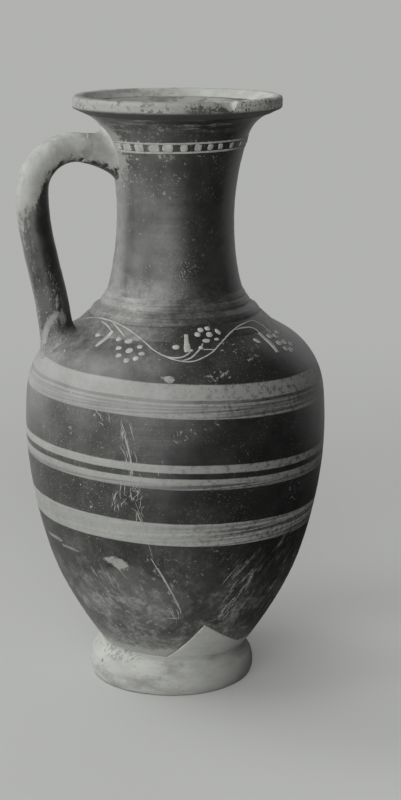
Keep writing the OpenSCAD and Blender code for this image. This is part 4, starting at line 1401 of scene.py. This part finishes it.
shoulder = shoulder_skin()
painted_vine = painted("painted_vine", repeated(VINE, 0.6), shoulder, 0.22, 0.5, 1.0)
painted_leaves = painted("painted_leaves", repeated(BARS, 0.8), shoulder, 0.3, 0.1, 2.0)
berries = [(turn + shift, *rest) for shift in REPEATS for turn, *rest in BERRIES if turn + shift < VINE_END]
painted_berries = dropped("painted_berries", berries, on_body, shoulder, 0.35, 0.6, 0.15, 3.0)

# Row of dots between two lines on the neck; the row rises a little to the viewer's right, and the dots round the
# back are evenly spaced
FRIEZE_Z = 275.6
FRIEZE_GAP = 2.2
FRIEZE_LIFT = 0.5
FRIEZE_TURNS = range(-60, 233, 6)
LINE_HALF = 0.5
DOT_TURNS = [-55, -43, -30.7, -17.5, -6.5, 6.5, 18, 28.7, 38.2, 51, 65] + [78.0 + 11.0 * i for i in range(15)]
DOT_SPIN = 8.0


def frieze_height(turn):
    """Height of the row's middle at a turn, in mm."""
    return FRIEZE_Z + FRIEZE_LIFT * math.sin(math.radians(turn))


def dot_size(turn):
    """Half-breadth and half-length of a dot (mm), larger to the viewer's left."""
    return (2.7, 2.0) if turn < 0 else (1.9, 1.8) if turn < 20 else (1.5, 1.5)


lines = [stroke([(t, frieze_height(t) + side * FRIEZE_GAP) for t in FRIEZE_TURNS], LINE_HALF, on_neck)
         for side in (-1.0, 1.0)]
dots = [(t, frieze_height(t), *dot_size(t), DOT_SPIN * math.sin(t)) for t in DOT_TURNS]
frieze = painted("frieze_lines", lines, neck, 0.2, 0.9, 4.0)
frieze_dots = dropped("frieze_dots", dots, on_neck, neck, 0.3, 0.7, 0.55, 5.0)

# Scratches, as thin pale strokes: scribbles (turn, height, half-sizes, count, length, slope) and longer ones
# (half-width, points as turn and height)
SCRIBBLES = [
    (-17.0, 141.0, 3.0, 8.0, 16, 9.0, 8.0), (-15.2, 131.0, 2.5, 5.0, 10, 8.0, 10.0),
    (-17.0, 117.0, 6.0, 7.0, 15, 7.0, -14.0), (-22.0, 112.0, 3.0, 5.0, 8, 6.0, -10.0),
    (-13.0, 100.0, 2.5, 9.0, 8, 7.0, 15.0), (-1.0, 53.0, 4.0, 6.0, 12, 8.0, 30.0),
    (3.0, 145.0, 4.0, 4.0, 6, 3.0, 20.0), (-27.0, 152.0, 5.0, 3.0, 7, 3.5, 40.0),
    (-8.0, 127.0, 10.0, 6.0, 8, 4.0, 25.0), (30.0, 60.0, 8.0, 14.0, 14, 12.0, -28.0),
    (-30.0, 60.0, 12.0, 14.0, 16, 9.0, 30.0),
]
LONG_SCRATCHES = [
    (0.3, [(-18.2, 147), (-16.4, 139), (-15.2, 131), (-15.8, 124)]),
    (0.11, [(-14.2, 112), (-12.1, 104), (-10.6, 96), (-9.6, 89), (-8.5, 82)]),
    (0.32, [(-9.4, 82.5), (-5.4, 73), (-1.6, 64), (2.2, 55.2)]),
    (0.26, [(-6.6, 77), (-3.4, 69), (0.2, 60)]),
    (0.3, [(-0.6, 60), (2.6, 53), (3.2, 50)]),
    (0.3, [(-4.0, 47.4), (-1.0, 46.9), (2.4, 47.0)]),
]

# Degrees round the body that make about 1 mm, and the seed of the scribbles
DEGREES_PER_MM = 0.76
chance = random.Random(11)


def scribble(turn, height, across, up, count, length, slope):
    """Short strokes strewn over an oval: half-sizes and lengths in mm, slope in degrees from upright."""
    marks = []
    for _ in range(count):
        t = turn + chance.uniform(-1.0, 1.0) * across * DEGREES_PER_MM
        z = height + chance.uniform(-1.0, 1.0) * up
        lean_by = math.radians(slope + chance.gauss(0.0, 14.0))
        half = length * chance.uniform(0.3, 1.0) / 2.0
        bend = chance.uniform(-0.5, 0.5)
        side, rise = half * math.sin(lean_by) * DEGREES_PER_MM, half * math.cos(lean_by)
        marks.append(stroke([(t - side, z + rise), (t + bend, z), (t + side, z - rise)],
                            chance.uniform(0.08, 0.2), ends=0.4))
    return marks


scratches = [mark for row in SCRIBBLES for mark in scribble(*row)]
scratches += [stroke(points, half) for half, points in LONG_SCRATCHES]
scratch_marks = painted("scratch_marks", scratches, body, 0.05, 1.2, 6.0)
bpy.data.objects.remove(shoulder)

pieces = {
    foot: ("foot", "pale_clay"), body: ("body", "black_slip"), repair_fill: ("repair_fill", "plaster"),
    neck: ("neck", "black_slip"), collar: ("collar", "black_slip"), lip: ("lip", "worn_rim"),
    handle: ("handle", "worn_slip"), handle_upper_pad: ("handle_upper_pad", "worn_slip"),
    handle_lower_pad: ("handle_lower_pad", "worn_slip"),
    painted_vine: (None, "pale_clay"), painted_leaves: (None, "pale_clay"),
    painted_berries: (None, "pale_clay"), frieze: (None, "pale_clay"), frieze_dots: (None, "pale_clay"),
    scratch_marks: (None, "pale_clay"),
}


def settle(piece):
    """Thrown clay is never true: the neck leans to the viewer's right, the foot sits askew to the left."""
    for vertex in piece.data.vertices:
        place = vertex.co
        if piece is foot:
            held = min(max(place.z / (FOOT_HELD * MM), 0.0), 1.0)
            place.z -= place.dot(VIEW_RIGHT) * FOOT_TILT * held
            eased = min(max((FOOT_EASE_TOP * MM - place.z) / (FOOT_EASE * MM), 0.0), 1.0)
            place -= VIEW_RIGHT * FOOT_OFF * MM * eased
            place.z = max(place.z, 0.0)
        place += VIEW_RIGHT * max(0.0, place.z - LEAN_FROM * MM) * LEAN_PER_MM
        vertex.co = place


for piece, (node, slot) in pieces.items():
    settle(piece)
    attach(piece, "root")
    if node:
        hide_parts(node)

# ---------------------------------------------------------------- studio

def studio_sweep(name, near, far, high, bend, half_width):
    """Floor that bends up into a backdrop, as one sheet; sizes in metres."""
    line = [Vector((-near, 0.0)), Vector((far - bend, 0.0))]
    for i in range(1, 25):
        a = math.radians(90.0 * i / 24)
        line.append(Vector((far - bend + bend * math.sin(a), bend - bend * math.cos(a))))
    line.append(Vector((far, high)))
    bm = bmesh.new()
    rows = [[bm.verts.new(VIEW_AWAY * p.x + VIEW_RIGHT * s + Vector((0, 0, p.y))) for p in line]
            for s in (-half_width, half_width)]
    for i in range(len(line) - 1):
        bm.faces.new((rows[0][i], rows[1][i], rows[1][i + 1], rows[0][i + 1]))
    return mesh_object(name, bm, studio_finish())


studio_sweep("studio_sweep", near=6.0, far=4.6, high=4.0, bend=1.6, half_width=6.0)

# Soft lamps: turn, distance, height, breadth, tallness, radiance and the height they are aimed at (degrees, metres)
LAMPS = {
    "window_far": (-117.0, 0.75, 0.5, 0.62, 1.0, 1.6, 0.45),
    "window_near": (-70.0, 0.75, 0.5, 0.62, 1.0, 1.7, 0.45),
    "window_front": (-17.0, 1.25, 0.62, 1.0, 1.2, 3.4, 0.4),
    "skylight_left": (-85.0, 0.75, 1.35, 1.1, 1.2, 2.9, 0.2),
    "skylight_right": (150.0, 1.4, 0.8, 1.2, 1.0, 0.3, 0.1),
}

# The room: its tone, how strongly it lights and how strongly it is seen
ROOM_TONE = (0.4375, 0.444, 0.4331)
ROOM_LIGHT = 0.08
ROOM_SEEN = 1.0


def soft_box(name, turn, distance, height, wide, tall, radiance, aim):
    """A soft lamp at a turn from the viewer (degrees, negative to the left), aimed at a height on the axis."""
    lamp = bpy.data.lights.new(name, "AREA")
    lamp.shape = "RECTANGLE"
    lamp.size = wide
    lamp.size_y = tall
    lamp.energy = math.pi * wide * tall * radiance
    holder = bpy.data.objects.new(name, lamp)
    place = around(turn, distance / MM, height / MM)
    holder.location = place
    holder.rotation_euler = (Vector((0, 0, aim)) - place).to_track_quat("-Z", "Y").to_euler()
    holder.visible_camera = False
    scene.collection.objects.link(holder)


for name, values in LAMPS.items():
    soft_box(name, *values)

world = bpy.data.worlds.new("room")
scene.world = world
world.use_nodes = True
seen = put(world.node_tree, "ShaderNodeLightPath").outputs["Is Camera Ray"]
strength = put(world.node_tree, "ShaderNodeMapRange",
               {"Value": seen, "To Min": ROOM_LIGHT, "To Max": ROOM_SEEN}).outputs[0]
room = world.node_tree.nodes["Background"].inputs
room["Color"].default_value = (*ROOM_TONE, 1.0)
world.node_tree.links.new(strength, room["Strength"])

camera = bpy.data.cameras.new("camera")
camera.sensor_fit = "VERTICAL"
camera.sensor_height = SENSOR
camera.lens = LENS
viewer = bpy.data.objects.new("camera", camera)
viewer.location = (VIEW_RIGHT * EYE_RIGHT - VIEW_AWAY * EYE_BACK + Vector((0, 0, EYE_UP))) * MM
viewer.rotation_euler = (math.radians(90.0 - EYE_DIP), 0.0, math.radians(VIEW_TURN))
scene.collection.objects.link(viewer)
scene.camera = viewer
scene.view_settings.view_transform = "Standard"
